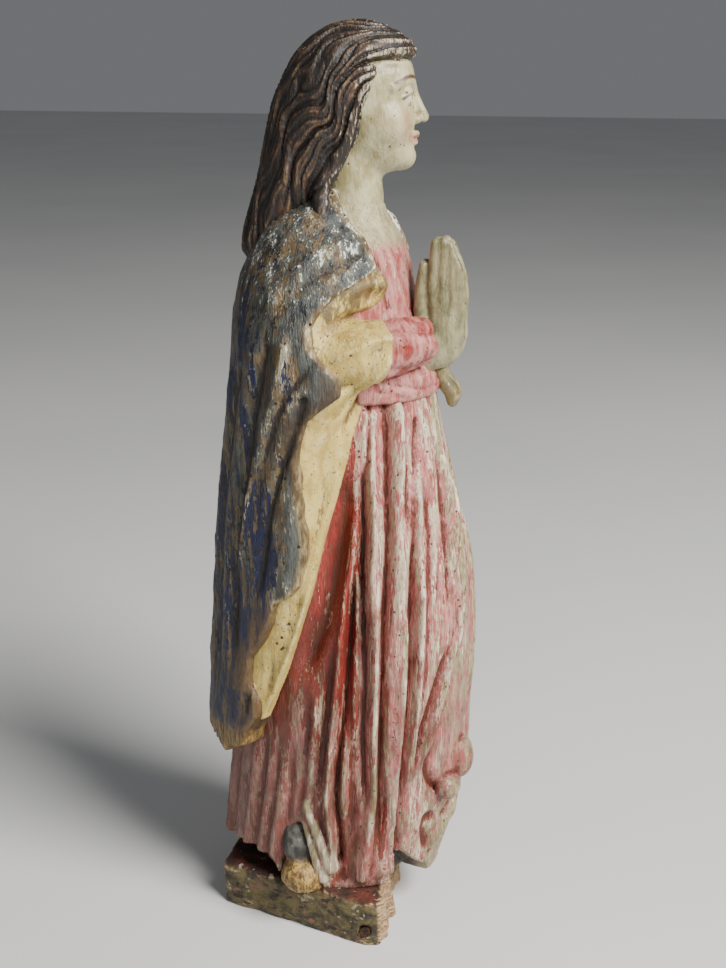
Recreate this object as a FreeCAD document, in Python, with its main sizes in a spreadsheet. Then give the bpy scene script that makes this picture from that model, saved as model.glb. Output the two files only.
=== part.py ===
import FreeCAD, Part
import Sketcher

import math
import os

from FreeCAD import Placement, Rotation, Vector

# Standing praying figure of carved and painted wood, 320 mm high, made as its separately carved pieces.
#
# Millimetres, +Z up.  The origin is the middle of the plinth's underside before its front split away.
# The figure faces -Y and its own right hand is towards -X.
# Angles round the figure are in degrees, measured at the middle of a section from the back (+Y) towards +X.

OUT_FOLDER = "parts"
RIGHT = -1                # the right side is carved, and the left is its mirror image
RING_POINTS = 72          # points round a full section
ARC_POINTS = 11           # points along one wall of a board's section
GLUE_LINE = 0.1           # gap left between curved pieces that are glued face to face

# Driving dimensions: alias, value, meaning.
DIMENSIONS = [
    ("plinth_height", 17.0, "plinth underside to top"),
    ("plinth_depth", 90.0, "plinth front to back before it broke"),
    ("plinth_width", 80.0, "widest, across the two side corners"),
    ("plinth_back_width", 52.0, "along the back edge"),
    ("plinth_corner_set", 18.0, "how far the side corners lie in front of the middle"),
    ("plinth_round", 5.0, "rounding of the two back corners"),
    ("plinth_wear", 1.2, "worn bevel along the upper edge"),
    ("break_depth", 24.0, "how far the front of the plinth has split away at its right side"),
    ("break_slant", 9.0, "how much further back the split runs at its left side"),
    ("base_dowel_radius", 3.0, "dowels between plinth and robe"),
    ("base_dowel_length", 26.0, ""),
    ("base_dowel_spacing", 30.0, "front dowel to back dowel"),
    ("base_dowel_middle", 8.0, "how far the pair lies behind the origin"),
    ("neck_dowel_radius", 3.0, "dowel between robe and neck"),
    ("neck_dowel_length", 24.0, ""),
    ("arm_dowel_radius", 2.0, "dowels between robe and sleeves"),
    ("arm_dowel_length", 13.0, ""),
    ("cloak_peg_radius", 1.5, "pegs between robe and cloak boards"),
    ("cloak_peg_length", 12.0, ""),
    ("peg_play", 0.03, "room round a peg in its hole"),
    ("nail_head_radius", 1.9, "hand-made nail in the plinth"),
    ("nail_shank_radius", 0.9, ""),
    ("nail_length", 14.0, ""),
    ("nail_height", 5.5, "height of the nail above the underside"),
    ("nail_forward", 16.5, "how far the nail lies in front of the origin"),
    ("nail_inset", 0.9, "how far inside the widest corners its head lies"),
    ("fold_depth", 1.3, "depth of the skirt folds at the hem"),
    ("fold_count", 18.0, "skirt folds, counted right round"),
    ("lining_thickness", 3.0, "lining turned back over the skirt"),
    ("sash_bottom", 198.0, ""),
    ("sash_width", 9.0, "height of the waist band"),
    ("sash_thickness", 1.6, ""),
    ("head_turn", 14.0, "degrees that the head is turned to its left"),
    ("hand_bottom", 206.0, "height of the heels of the hands"),
    ("hand_length", 43.0, "heel of the hand to finger tips"),
    ("hand_thickness", 6.4, "palm to back of one hand"),
    ("shoe_length", 17.0, ""),
    ("shoe_width", 13.0, ""),
    ("shoe_height", 10.0, ""),
    ("shoe_toe_out", 36.0, "how far the toe reaches to the right"),
    ("shoe_behind", 8.0, "how far the shoe lies behind the origin"),
    ("recess_half_width", 9.5, "opening in the hem over the shoe"),
    ("recess_height", 25.0, ""),
]

# Robe from hem to collar: height, front y, back y, half width.
ROBE = [
    (17, -38, 46, 34), (34, -43, 45, 34.5), (55, -45, 43, 34.5), (80, -45, 40, 35), (105, -46, 38, 35),
    (133, -45, 35, 34), (160, -40, 32, 31), (188, -33, 29, 28), (202, -30.5, 27, 27), (215, -28, 26, 27),
    (230, -25, 25, 28), (243, -22, 23, 28), (252, -19, 20, 24), (259, -16, 15, 17), (263, -14.5, 9, 12),
]
# Outer face of the cloak: height, front y of the ellipse that it lies on, back y, half width.
CLOAK = [
    (66, -38, 52.5, 42), (80, -40, 52, 42.5), (105, -42, 49.5, 42.5), (130, -40, 47.5, 42.5),
    (156, -36, 45.5, 43.5), (180, -34, 42.5, 45), (205, -32, 39.5, 47), (220, -29.5, 38, 46),
    (235, -26, 35.5, 42), (247, -22.5, 31, 35), (256, -18.5, 25, 26), (261, -16.5, 17, 18),
]
# Hair: height, front y, back y, half width.
HAIR = [
    (243, 24, 35.5, 13), (248, 17, 35, 19), (256, 6, 33, 21.5), (268, -3, 29.5, 22.5), (280, -10, 27, 22),
    (294, -18, 23.5, 21.5), (306, -23, 18, 19), (313, -20, 12.5, 15), (318, -11, 7, 9), (320, -6, 3, 4),
]
# Height, then the angle from the back at which the edge lies.
CLOAK_EDGE = [
    (66, 64), (90, 66), (106, 62), (120, 68), (134, 84), (150, 90), (190, 90), (205, 97), (222, 118),
    (238, 142), (261, 120),
]
LINING_EDGE = [
    (84, 68), (100, 73), (117, 79), (135, 88), (150, 93), (165, 99), (182, 107), (203, 119), (225, 139),
    (240, 148),
]
BOARD_SEAM = 36.0         # angle at which the back board meets each side board
HEAD_AXIS_Y = -3.0        # the head turns about this upright line
NECK_Y = -4.0             # middle line of the neck and its dowel
ARM_DOWEL_SPOT = (27, -11, 214)     # middle of the left arm's dowel
CLOAK_PEG_HEIGHTS = (95, 190)
CLOAK_PEG_ANGLES = (-50, -18, 18, 50)
CLOAK_PEG_OUT = 1.5       # how far outside the robe's wall the middle of a peg lies
FOLD_LOSS = 0.75          # share of the folds' depth that is lost between hem and waist
FOLD_RUN_OUT = 14.0       # degrees over which the folds fade before they reach the lining
FOLD_SWAY = 25.0          # degrees of wave by which a fold swings to and fro on its way down
FOLD_SWAY_LENGTH = 40.0


def fill_sheet(doc):
    """Puts the driving dimensions in a sheet. Returns a function that reads one by its alias."""
    sheet = doc.addObject("Spreadsheet::Sheet", "dimensions")
    for row, (alias, value, meaning) in enumerate(DIMENSIONS, start=1):
        sheet.set(f"A{row}", str(value))
        sheet.setAlias(f"A{row}", alias)
        sheet.set(f"B{row}", meaning)
    doc.recompute()
    return lambda alias: float(getattr(sheet, alias))


# --- curves and lofts ---------------------------------------------------------------------------------


def row_at(rows, height):
    """The row's values at this height, on a smooth curve through the rows."""
    height = min(max(height, rows[0][0]), rows[-1][0])
    i = max(k for k in range(len(rows) - 1) if rows[k][0] <= height)
    before, low = rows[max(i - 1, 0)], rows[i]
    high, after = rows[i + 1], rows[min(i + 2, len(rows) - 1)]
    span = high[0] - low[0]
    t = (height - low[0]) / span
    values = []
    for k in range(1, len(low)):
        rise = (high[k] - before[k]) * span / (high[0] - before[0])
        next_rise = (after[k] - low[k]) * span / (after[0] - low[0])
        values.append(
            (2 * t**3 - 3 * t**2 + 1) * low[k] + (t**3 - 2 * t**2 + t) * rise
            + (3 * t**2 - 2 * t**3) * high[k] + (t**3 - t**2) * next_rise
        )
    return values


def wall_point(rows, height, angle, out=0.0):
    """A point of the section's ellipse at this height and angle, moved outwards by out."""
    front, back, half_width = row_at(rows, height)
    middle, half_depth = (front + back) / 2, (back - front) / 2
    turn = math.radians(angle)
    reach = half_width * half_depth / math.hypot(half_depth * math.sin(turn), half_width * math.cos(turn))
    return Vector((reach + out) * math.sin(turn), middle + (reach + out) * math.cos(turn), height)


def levels(low, high, step):
    """Heights from low to high, about a step apart."""
    count = max(1, round((high - low) / step))
    return [low + (high - low) * i / count for i in range(count + 1)]


def spline(points, closed=False):
    curve = Part.BSplineCurve()
    curve.interpolate(Points=points, PeriodicFlag=closed)
    return curve.toShape()


def loft(wires):
    solid = Part.makeLoft(wires, True, False)
    if solid.Volume < 0:
        solid.reverse()
    return solid


def ring_loft(heights, point_at):
    """A solid through closed sections. point_at(height, angle) gives each point of the wall."""
    wires = []
    for height in heights:
        ring = [point_at(height, 360.0 * i / RING_POINTS) for i in range(RING_POINTS)]
        wires.append(Part.Wire([spline(ring, closed=True)]))
    return loft(wires)


def board_loft(heights, start, end, inner, outer):
    """A curved board that runs at each height from angle start to angle end, between two walls."""
    wires = []
    for height in heights:
        first, last = start(height), end(height)
        angles = [first + (last - first) * i / (ARC_POINTS - 1) for i in range(ARC_POINTS)]
        outside = [outer(height, angle) for angle in angles]
        inside = [inner(height, angle) for angle in reversed(angles)]
        wires.append(Part.Wire([
            spline(outside),
            Part.LineSegment(outside[-1], inside[0]).toShape(),
            spline(inside),
            Part.LineSegment(inside[-1], outside[0]).toShape(),
        ]))
    return loft(wires)


def limb_loft(stations):
    """A round limb. Each station is a centre, the direction of the limb there and a radius."""
    wires = []
    for centre, direction, radius in stations:
        circle = Part.Circle(Vector(0, 0, 0), Vector(0, 0, 1), radius).toShape()
        circle.Placement = Placement(centre, Rotation(Vector(0, 0, 1), direction))
        wires.append(Part.Wire([circle]))
    return loft(wires)


def ellipsoid(centre, radius_x, radius_y, radius_z):
    matrix = FreeCAD.Matrix()
    matrix.A11, matrix.A22, matrix.A33 = radius_x, radius_y, radius_z
    matrix.A14, matrix.A24, matrix.A34 = centre
    return Part.makeSphere(1.0).transformGeometry(matrix)


# --- plinth, as a PartDesign body ---------------------------------------------------------------------


def plane_sketch(body, name, lift=0.0):
    """A sketch on the body's own XY plane, raised by lift."""
    sketch = body.newObject("Sketcher::SketchObject", name)
    plane = next(f for f in body.Origin.OriginFeatures if f.Role == "XY_Plane")
    sketch.AttachmentSupport = [(plane, "")]
    sketch.MapMode = "FlatFace"
    sketch.AttachmentOffset = Placement(Vector(0, 0, lift), Rotation())
    return sketch


def draw_outline(sketch, points):
    """A closed outline of straight lines whose corners are locked together."""
    count = len(points)
    for i, (x, y) in enumerate(points):
        next_x, next_y = points[(i + 1) % count]
        sketch.addGeometry(Part.LineSegment(Vector(x, y, 0), Vector(next_x, next_y, 0)), False)
    for i in range(count):
        sketch.addConstraint(Sketcher.Constraint("Coincident", i, 2, (i + 1) % count, 1))


def bind(sketch, expression, kind, *items):
    """Adds a dimension to the sketch and ties it to the sheet."""
    index = sketch.addConstraint(Sketcher.Constraint(kind, *items, 1.0))
    sketch.setExpression(f"Constraints[{index}]", expression)


def edges_where(shape, test):
    """Names of the edges whose middle point and two ends pass the test."""
    names = []
    for i, edge in enumerate(shape.Edges, start=1):
        middle = edge.valueAt((edge.FirstParameter + edge.LastParameter) / 2)
        if test(middle, edge.Vertexes[0].Point, edge.Vertexes[-1].Point):
            names.append(f"Edge{i}")
    return names


def cut_down(body, name, profile, base, length=None):
    """Pockets the profile downwards, right through or to a length, and makes sure that it cut something."""
    pocket = body.newObject("PartDesign::Pocket", name)
    pocket.Profile = profile
    if length is None:
        pocket.Type = "ThroughAll"
    else:
        pocket.setExpression("Length", length)
    body.Document.recompute()
    if pocket.Shape.Volume > base.Shape.Volume - 1.0:
        raise RuntimeError(f"{name} cut nothing")
    return pocket


def make_plinth(doc, size):
    """Six-sided block, widest at its side corners, whose front has split away along the grain."""
    body = doc.addObject("PartDesign::Body", "plinth")
    body.Label = "plinth"
    wide, back = size("plinth_width") / 2, size("plinth_back_width") / 2
    end, corner = size("plinth_depth") / 2, -size("plinth_corner_set")
    plan = plane_sketch(body, "plinth_plan")
    corners = [(-back, -end), (back, -end), (wide, corner), (back, end), (-back, end), (-wide, corner)]
    draw_outline(plan, corners)
    plan.addConstraint(Sketcher.Constraint("Symmetric", 0, 1, 0, 2, -2))
    plan.addConstraint(Sketcher.Constraint("Symmetric", 3, 1, 3, 2, -2))
    plan.addConstraint(Sketcher.Constraint("Symmetric", 2, 1, 5, 1, -2))
    bind(plan, "dimensions.plinth_back_width", "DistanceX", 0, 1, 0, 2)
    bind(plan, "dimensions.plinth_back_width", "DistanceX", 3, 2, 3, 1)
    bind(plan, "dimensions.plinth_width", "DistanceX", 5, 1, 2, 1)
    bind(plan, "dimensions.plinth_depth / 2", "DistanceY", 0, 1, -1, 1)
    bind(plan, "dimensions.plinth_depth / 2", "DistanceY", -1, 1, 3, 1)
    bind(plan, "dimensions.plinth_corner_set", "DistanceY", 2, 1, -1, 1)
    block = body.newObject("PartDesign::Pad", "plinth_block")
    block.Profile = plan
    block.setExpression("Length", "dimensions.plinth_height")
    doc.recompute()

    split = size("break_depth") - end
    slant = size("break_slant") / (2 * wide)
    past_side, past_front = wide + 5, -end - 5
    jags = [
        (-past_side, -1), (-36, 0.5), (-25, -2), (-17, -1), (-9, 1), (0, -3), (10, -1), (19, -3), (29, 1),
        (past_side, -2),
    ]
    jagged = [(x, split + jag + slant * (x + wide)) for x, jag in jags]
    break_plan = plane_sketch(body, "break_plan", lift=size("plinth_height"))
    draw_outline(break_plan, [(-past_side, past_front), *jagged, (past_side, past_front)])
    doc.recompute()
    broken = cut_down(body, "plinth_break", break_plan, block)

    rounded = body.newObject("PartDesign::Fillet", "plinth_corners")
    rounded.Base = (broken, edges_where(
        broken.Shape, lambda middle, a, b: abs(a.z - b.z) > 1 and middle.y > end - 1,
    ))
    rounded.setExpression("Radius", "dimensions.plinth_round")
    doc.recompute()

    top = size("plinth_height")
    worn = body.newObject("PartDesign::Chamfer", "plinth_worn_edge")
    worn.Base = (rounded, edges_where(
        rounded.Shape, lambda middle, a, b: abs(middle.z - top) < 0.01 and middle.y > 0,
    ))
    worn.setExpression("Size", "dimensions.plinth_wear")
    doc.recompute()

    holes = plane_sketch(body, "base_dowel_plan", lift=top)
    middle, half = size("base_dowel_middle"), size("base_dowel_spacing") / 2
    for i, y in enumerate((middle - half, middle + half)):
        holes.addGeometry(Part.Circle(Vector(0, y, 0), Vector(0, 0, 1), size("base_dowel_radius")), False)
        holes.addConstraint(Sketcher.Constraint("PointOnObject", i, 3, -2))
        bind(holes, "dimensions.base_dowel_radius + dimensions.peg_play", "Radius", i)
    bind(holes, "dimensions.base_dowel_spacing", "DistanceY", 0, 3, 1, 3)
    back_hole = "dimensions.base_dowel_middle + dimensions.base_dowel_spacing / 2"
    bind(holes, back_hole, "DistanceY", -1, 1, 1, 3)
    doc.recompute()
    body.Tip = cut_down(body, "base_dowel_sockets", holes, worn, "dimensions.base_dowel_length / 2")
    return body


# --- pegs and nail ------------------------------------------------------------------------------------


def make_rod(doc, name, kind, middle, direction, play=""):
    """A round peg, or with play the hole for it, centred on a point. Its sizes come from the sheet."""
    rod = doc.addObject("Part::Cylinder", name)
    rod.setExpression("Radius", f"dimensions.{kind}_radius{play}")
    rod.setExpression("Height", f"dimensions.{kind}_length")
    doc.recompute()
    direction = Vector(direction).normalize()
    start = Vector(middle) - direction * (float(rod.Height) / 2)
    rod.Placement = Placement(start, Rotation(Vector(0, 0, 1), direction))
    return rod


def make_pegs(doc, name, kind, places):
    """One node of pegs of one kind, and the holes for them. A place is a middle point and a direction."""
    pegs, bores = [], []
    for i, (middle, direction) in enumerate(places, start=1):
        pegs.append(make_rod(doc, f"{name}_peg{i}", kind, middle, direction))
        bores.append(make_rod(doc, f"{name}_bore{i}", kind, middle, direction, " + dimensions.peg_play"))
    if len(pegs) == 1:
        node = pegs[0]
    else:
        node = doc.addObject("Part::Compound", name)
        node.Links = pegs
    node.Label = name
    return node, bores


def make_nail(doc, name, spot, direction):
    """Hand-made nail: a tapered shank and a low head, driven until the head's face stands just proud."""
    shank = doc.addObject("Part::Cone", f"{name}_shank")
    shank.setExpression("Radius1", "dimensions.nail_shank_radius")
    shank.setExpression("Radius2", "dimensions.nail_shank_radius / 3")
    shank.setExpression("Height", "dimensions.nail_length")
    head = doc.addObject("Part::Cylinder", f"{name}_head")
    head.setExpression("Radius", "dimensions.nail_head_radius")
    head.setExpression("Height", "dimensions.nail_shank_radius")
    head.setExpression(".Placement.Base.z", "-dimensions.nail_shank_radius / 2")
    nail = doc.addObject("Part::MultiFuse", name)
    nail.Label = name
    nail.Shapes = [shank, head]
    nail.Placement = Placement(Vector(spot), Rotation(Vector(0, 0, 1), Vector(direction)))
    return nail


# --- carved pieces ------------------------------------------------------------------------------------


def fold_wave(size, height, angle):
    """How far the skirt's wall stands out in a fold. The folds fade out upwards and under the cloak."""
    waist = size("sash_bottom")
    if height >= waist - 2:
        return 0.0
    hem = size("plinth_height")
    depth = size("fold_depth") * (1 - FOLD_LOSS * (height - hem) / (waist - hem))
    from_front = abs(angle % 360 - 180)
    free = 180 - row_at(LINING_EDGE, height)[0] if height > LINING_EDGE[0][0] else 180
    fade = min(1.0, max(0.0, (free - from_front) / FOLD_RUN_OUT))
    sway = FOLD_SWAY * math.sin(height / FOLD_SWAY_LENGTH)
    return depth * fade * math.cos(math.radians(size("fold_count") * angle + sway))


def robe_face(height, angle):
    """The face that the cloak, sash and lining are glued to."""
    return wall_point(ROBE, height, angle, GLUE_LINE)


def cloak_face(height, angle):
    return wall_point(CLOAK, height, angle)


def carve_robe(size):
    heights = levels(ROBE[0][0], 195, 17) + levels(204, ROBE[-1][0], 11)
    return ring_loft(heights, lambda z, a: wall_point(ROBE, z, a, fold_wave(size, z, a)))


def cloak_envelope():
    """Everything inside the outer face of the cloak, closed in front, and up to the collar."""
    heights = levels(CLOAK[0][0], CLOAK[-1][0], 15)
    return ring_loft(heights, lambda z, a: wall_point(CLOAK, z, a, GLUE_LINE))


def carve_cloak_back():
    heights = levels(CLOAK[0][0], CLOAK[-1][0], 15)
    return board_loft(heights, lambda z: -BOARD_SEAM, lambda z: BOARD_SEAM, robe_face, cloak_face)


def carve_cloak_side(side):
    """A side of the cloak, from its seam with the back board round to its free front edge."""
    heights = levels(CLOAK[0][0], CLOAK[-1][0], 15)
    return board_loft(
        heights, lambda z: side * (BOARD_SEAM + GLUE_LINE), lambda z: side * row_at(CLOAK_EDGE, z)[0],
        robe_face, cloak_face,
    )


def carve_lining(size, side):
    """The lining turned back along the front edge of the cloak, tapering to a point at the bottom."""
    def start(height):
        return side * (row_at(CLOAK_EDGE, height)[0] + GLUE_LINE * 3)

    def end(height):
        return side * max(row_at(LINING_EDGE, height)[0], row_at(CLOAK_EDGE, height)[0] + 2)

    thickness = size("lining_thickness")
    heights = levels(LINING_EDGE[0][0], 232, 15)
    return board_loft(heights, start, end, robe_face, lambda z, a: wall_point(ROBE, z, a, thickness))


def carve_sash(size):
    """Waist band across the front, crowned in section. It ends where the cloak and lining cover it."""
    low, high = size("sash_bottom"), size("sash_bottom") + size("sash_width")
    thickness = size("sash_thickness")

    def crown(height, angle):
        share = (height - low) / (high - low)
        return wall_point(ROBE, height, angle, thickness * (0.55 + 1.8 * share * (1 - share)))

    return board_loft(levels(low, high, 3), lambda z: 128.0, lambda z: 232.0, robe_face, crown)


def carve_sash_tie(size):
    """Knot of the sash with one loose end hanging from it, a small block applied in front."""
    middle = size("sash_bottom") + size("sash_width") / 2
    face = row_at(ROBE, middle)[0] - size("sash_thickness") - 1.0
    knot = ellipsoid((5, face - 1, middle + 0.5), 4.2, 3.2, 4.0)
    end = limb_loft([
        (Vector(5.2, face - 1.5, middle), Vector(0.05, -0.25, -1), 2.0),
        (Vector(5.6, face - 3.0, middle - 6), Vector(0.05, -0.2, -1), 2.8),
        (Vector(6.0, face - 4.0, middle - 11.5), Vector(0.05, -0.1, -1), 1.8),
    ])
    return knot.fuse(end).removeSplitter()


def carve_sleeve(side):
    """Forearm in its sleeve, from the elbow under the cloak forward to the wrist."""
    elbow, wrist = Vector(side * 35, -8, 215), Vector(side * 8, -31, 216)
    reach = wrist - elbow
    along = Vector(reach).normalize()
    shares = [(0.0, 9.5), (0.35, 9.4), (0.7, 8.4), (1.0, 7.2)]
    return limb_loft([(elbow + reach * share, along, radius) for share, radius in shares])


def carve_hand(size, side):
    """One hand of a praying pair: palm on the middle plane, fingers up, thumb on the chest side."""
    length, thickness, bottom = size("hand_length"), size("hand_thickness"), size("hand_bottom")
    palm = side * GLUE_LINE / 2
    stations = [          # share of the length, middle y, half width, share of the thickness
        (0.0, -31.0, 5.0, 0.80), (0.18, -33.0, 7.0, 1.00), (0.42, -35.0, 7.6, 1.00),
        (0.65, -35.0, 7.0, 0.85), (0.86, -34.5, 5.0, 0.70), (0.96, -34.2, 3.4, 0.55), (1.0, -34.0, 2.0, 0.40),
    ]
    wires = []
    for share, middle, half_width, bulk in stations:
        back_of_hand = []
        for i in range(9):
            turn = math.pi * i / 8
            x = palm + side * bulk * thickness * abs(math.sin(turn)) ** 0.7
            back_of_hand.append(Vector(x, middle + half_width * math.cos(turn), bottom + share * length))
        wires.append(Part.Wire([
            spline(back_of_hand), Part.LineSegment(back_of_hand[-1], back_of_hand[0]).toShape(),
        ]))
    thumb_x = side * 3.0
    thumb = limb_loft([
        (Vector(thumb_x, -28.0, bottom + 10), Vector(0, 0.1, 1), 2.4),
        (Vector(thumb_x, -27.6, bottom + 20), Vector(0, 0.0, 1), 2.5),
        (Vector(thumb_x, -28.4, bottom + 31), Vector(0, -0.1, 1), 1.8),
    ])
    return loft(wires).fuse(thumb).removeSplitter()


def turned(shape, degrees):
    """The shape turned about the head's upright axis."""
    shape.rotate(Vector(0, HEAD_AXIS_Y, 0), Vector(0, 0, 1), degrees)
    return shape


def carve_head(size):
    """Neck, jaw, skull and a plain nose."""
    skull = ellipsoid((0, -3, 298), 17.5, 20.5, 19)
    jaw = ellipsoid((0, -11, 286), 14, 13.5, 15.5)
    nose = Part.makeCone(0.8, 2.6, 9, Vector(0, -23.2, 294), Vector(0, -0.22, -1))
    neck = Part.makeCone(10.0, 8.8, 30, Vector(0, NECK_Y, 252), Vector(0, -0.1, 1))
    return turned(skull.fuse([jaw, nose, neck]).removeSplitter(), size("head_turn"))


def carve_hair(size):
    """The mass of hair, open in front for the face, falling behind to the shoulders."""
    mass = ring_loft([row[0] for row in HAIR], lambda z, a: wall_point(HAIR, z, a))
    chin, forehead = 254, 296
    temple_to_temple, temple_y = 34, -20
    face_window = Part.makeBox(
        temple_to_temple, 26, forehead + 16 - chin, Vector(-temple_to_temple / 2, temple_y - 26, chin),
    )
    behind_face = Part.makeCylinder(15.5, forehead - chin, Vector(0, -10.5, chin))
    return mass.cut(turned(face_window.fuse(behind_face), size("head_turn")))


def shoe_place(size):
    """Where the right shoe's heel stands: it points outwards, its toe at the plinth's edge."""
    return Vector(-size("shoe_toe_out") + size("shoe_length"), size("shoe_behind"), size("plinth_height"))


def carve_shoe_recess(size):
    """The arched opening in the hem that shows the shoe."""
    heel = shoe_place(size)
    toe = (heel.x - size("shoe_length"), heel.y, heel.z)
    return ellipsoid(toe, size("shoe_length"), size("recess_half_width"), size("recess_height"))


def carve_shoe(size):
    """Closed round-toed shoe with a flat sole."""
    length, width, height = size("shoe_length"), size("shoe_width"), size("shoe_height")
    toe = ellipsoid((-length * 0.55, 0, 0), length * 0.45, width * 0.5, height)
    instep = ellipsoid((-length * 0.35, 0, 0), length * 0.35, width * 0.42, height * 1.4)
    above_sole = Part.makeBox(4 * length, 4 * width, 4 * height, Vector(-2 * length, -2 * width, 0))
    shoe = toe.fuse(instep).removeSplitter().common(above_sole)
    shoe.translate(shoe_place(size))
    return shoe


# --- assembly -----------------------------------------------------------------------------------------


def add_piece(doc, name, shape, bores=()):
    """Puts a carved shape in the document and, where pegs enter it, drills their holes."""
    carving = doc.addObject("Part::Feature", f"{name}_carving" if bores else name)
    carving.Shape = shape.Solids[0]
    if not bores:
        carving.Label = name
        return carving
    drill = doc.addObject("Part::Compound", f"{name}_bores")
    drill.Links = list(bores)
    piece = doc.addObject("Part::Cut", name)
    piece.Base, piece.Tool = carving, drill
    piece.Label = name
    return piece


def add_mirrored(doc, name, right_piece):
    """The left piece that answers a right one."""
    piece = doc.addObject("Part::Mirroring", name)
    piece.Source = right_piece
    piece.Base = Vector(0, 0, 0)
    piece.Normal = Vector(1, 0, 0)
    piece.Label = name
    return piece


def check_document(doc, pieces):
    """Stops if any object failed, or if a piece is not one or more valid solids."""
    for thing in doc.Objects:
        if {"Invalid", "Error"} & set(thing.State):
            raise RuntimeError(f"{thing.Name} failed: {thing.State}")
    for piece in pieces:
        if piece.Shape.isNull() or not piece.Shape.isValid() or not piece.Shape.Solids:
            raise RuntimeError(f"{piece.Label} is not a valid solid")
        volumes = ", ".join(f"{solid.Volume:.0f}" for solid in piece.Shape.Solids)
        print(f"{piece.Label}: {volumes} mm3")


def main():
    doc = FreeCAD.newDocument("praying_figure")
    size = fill_sheet(doc)
    top = size("plinth_height")

    half_spacing = size("base_dowel_spacing") / 2
    plinth_dowels, base_bores = make_pegs(doc, "plinth_dowels", "base_dowel", [
        ((0, size("base_dowel_middle") + way * half_spacing, top), (0, 0, 1)) for way in (-1, 1)
    ])
    neck_place = ((0, NECK_Y, ROBE[-1][0]), (0, 0, 1))
    neck_dowel, neck_bores = make_pegs(doc, "neck_dowel", "neck_dowel", [neck_place])
    out, y, z = ARM_DOWEL_SPOT
    arm_dowels, arm_bores = make_pegs(doc, "arm_dowels", "arm_dowel", [
        ((side * out, y, z), (side, 0, 0)) for side in (-1, 1)
    ])
    peg_places = []
    for height in CLOAK_PEG_HEIGHTS:
        for angle in CLOAK_PEG_ANGLES:
            turn = math.radians(angle)
            middle = wall_point(ROBE, height, angle, CLOAK_PEG_OUT)
            peg_places.append((middle, (math.sin(turn), math.cos(turn), 0)))
    cloak_pegs, cloak_bores = make_pegs(doc, "cloak_pegs", "cloak_peg", peg_places)
    nail_spot = (size("nail_inset") - size("plinth_width") / 2, -size("nail_forward"), size("nail_height"))
    nail = make_nail(doc, "plinth_nail", nail_spot, (1, 0.15, 0))
    doc.recompute()

    robe = carve_robe(size)
    sash = carve_sash(size)
    cloak_side = carve_cloak_side(RIGHT)
    lining = carve_lining(size, RIGHT).cut(sash)
    sleeve = carve_sleeve(RIGHT).cut([robe, sash, cloak_side, lining])
    hand = carve_hand(size, RIGHT).cut([sleeve, robe])
    head = carve_head(size).cut(robe)
    hair = carve_hair(size).cut(cloak_envelope()).cut(head)
    tie = carve_sash_tie(size).cut([sash, robe])
    shoe = carve_shoe(size)

    robe_bores = base_bores + neck_bores + arm_bores + cloak_bores
    right_pieces = [
        add_piece(doc, "right_cloak_side", cloak_side, cloak_bores),
        add_piece(doc, "right_lining", lining),
        add_piece(doc, "right_sleeve", sleeve, arm_bores),
        add_piece(doc, "right_hand", hand),
    ]
    left_pieces = [
        add_mirrored(doc, piece.Label.replace("right", "left"), piece) for piece in right_pieces
    ]
    pieces = [
        make_plinth(doc, size), plinth_dowels, neck_dowel, arm_dowels, cloak_pegs, nail,
        add_piece(doc, "robe", robe.cut(carve_shoe_recess(size)), robe_bores),
        add_piece(doc, "cloak_back", carve_cloak_back(), cloak_bores),
        add_piece(doc, "head", head, neck_bores),
        add_piece(doc, "hair", hair),
        add_piece(doc, "sash", sash),
        add_piece(doc, "sash_tie", tie),
        add_piece(doc, "right_shoe", shoe),
    ] + right_pieces + left_pieces
    doc.recompute()
    check_document(doc, pieces)
    os.makedirs(OUT_FOLDER, exist_ok=True)
    for piece in pieces:
        piece.Shape.exportStep(os.path.join(OUT_FOLDER, f"{piece.Label}.step"))


if __name__ == "__main__":
    main()
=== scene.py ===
"""Looks of the carved and painted praying figure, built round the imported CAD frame.

Shapes are worked out in millimetres in the row frame and turned into metres when a mesh is made.
The figure faces -Y, its right hand is towards -X.  A bearing is an angle round the figure in degrees:
0 is the front, 90 the figure's right side, -90 its left side and 180 the back.
"""
import math

import bpy
import numpy as np
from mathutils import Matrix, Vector


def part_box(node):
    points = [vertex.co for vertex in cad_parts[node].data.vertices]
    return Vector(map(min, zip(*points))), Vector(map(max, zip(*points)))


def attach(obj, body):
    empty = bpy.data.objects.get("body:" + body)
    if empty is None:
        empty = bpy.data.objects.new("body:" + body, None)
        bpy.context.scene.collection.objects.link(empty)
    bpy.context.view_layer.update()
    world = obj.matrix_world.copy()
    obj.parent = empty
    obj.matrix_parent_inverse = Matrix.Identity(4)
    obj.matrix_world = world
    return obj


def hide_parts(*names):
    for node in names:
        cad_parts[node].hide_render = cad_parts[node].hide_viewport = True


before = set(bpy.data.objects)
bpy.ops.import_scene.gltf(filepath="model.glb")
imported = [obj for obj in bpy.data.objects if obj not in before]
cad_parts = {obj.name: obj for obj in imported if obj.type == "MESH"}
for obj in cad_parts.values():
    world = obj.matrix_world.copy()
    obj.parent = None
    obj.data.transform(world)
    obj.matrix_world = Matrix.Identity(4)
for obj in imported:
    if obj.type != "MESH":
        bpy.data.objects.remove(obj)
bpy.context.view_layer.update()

MM = 0.001
ROOT = "root"
BEARING_STEP = 0.5        # degrees between two columns of a wall's map
HEIGHT_STEP = 0.5         # millimetres between two rows of a wall's map
GROOVE_FADE = 16.0        # length over which a carved groove dies away at its end
SASH_LOW, SASH_HIGH, SASH_END = 196.5, 208.0, 72.0     # the sash's edges and the bearing at which it ends
OPEN_CLOTH_LOW, OPEN_CLOTH_TOP = 32.0, 188.5           # between the hem and the gathers under the sash
BEARINGS = np.arange(-180.0, 180.0, BEARING_STEP)

PLINTH_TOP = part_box("plinth")[1][2] / MM

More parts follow.
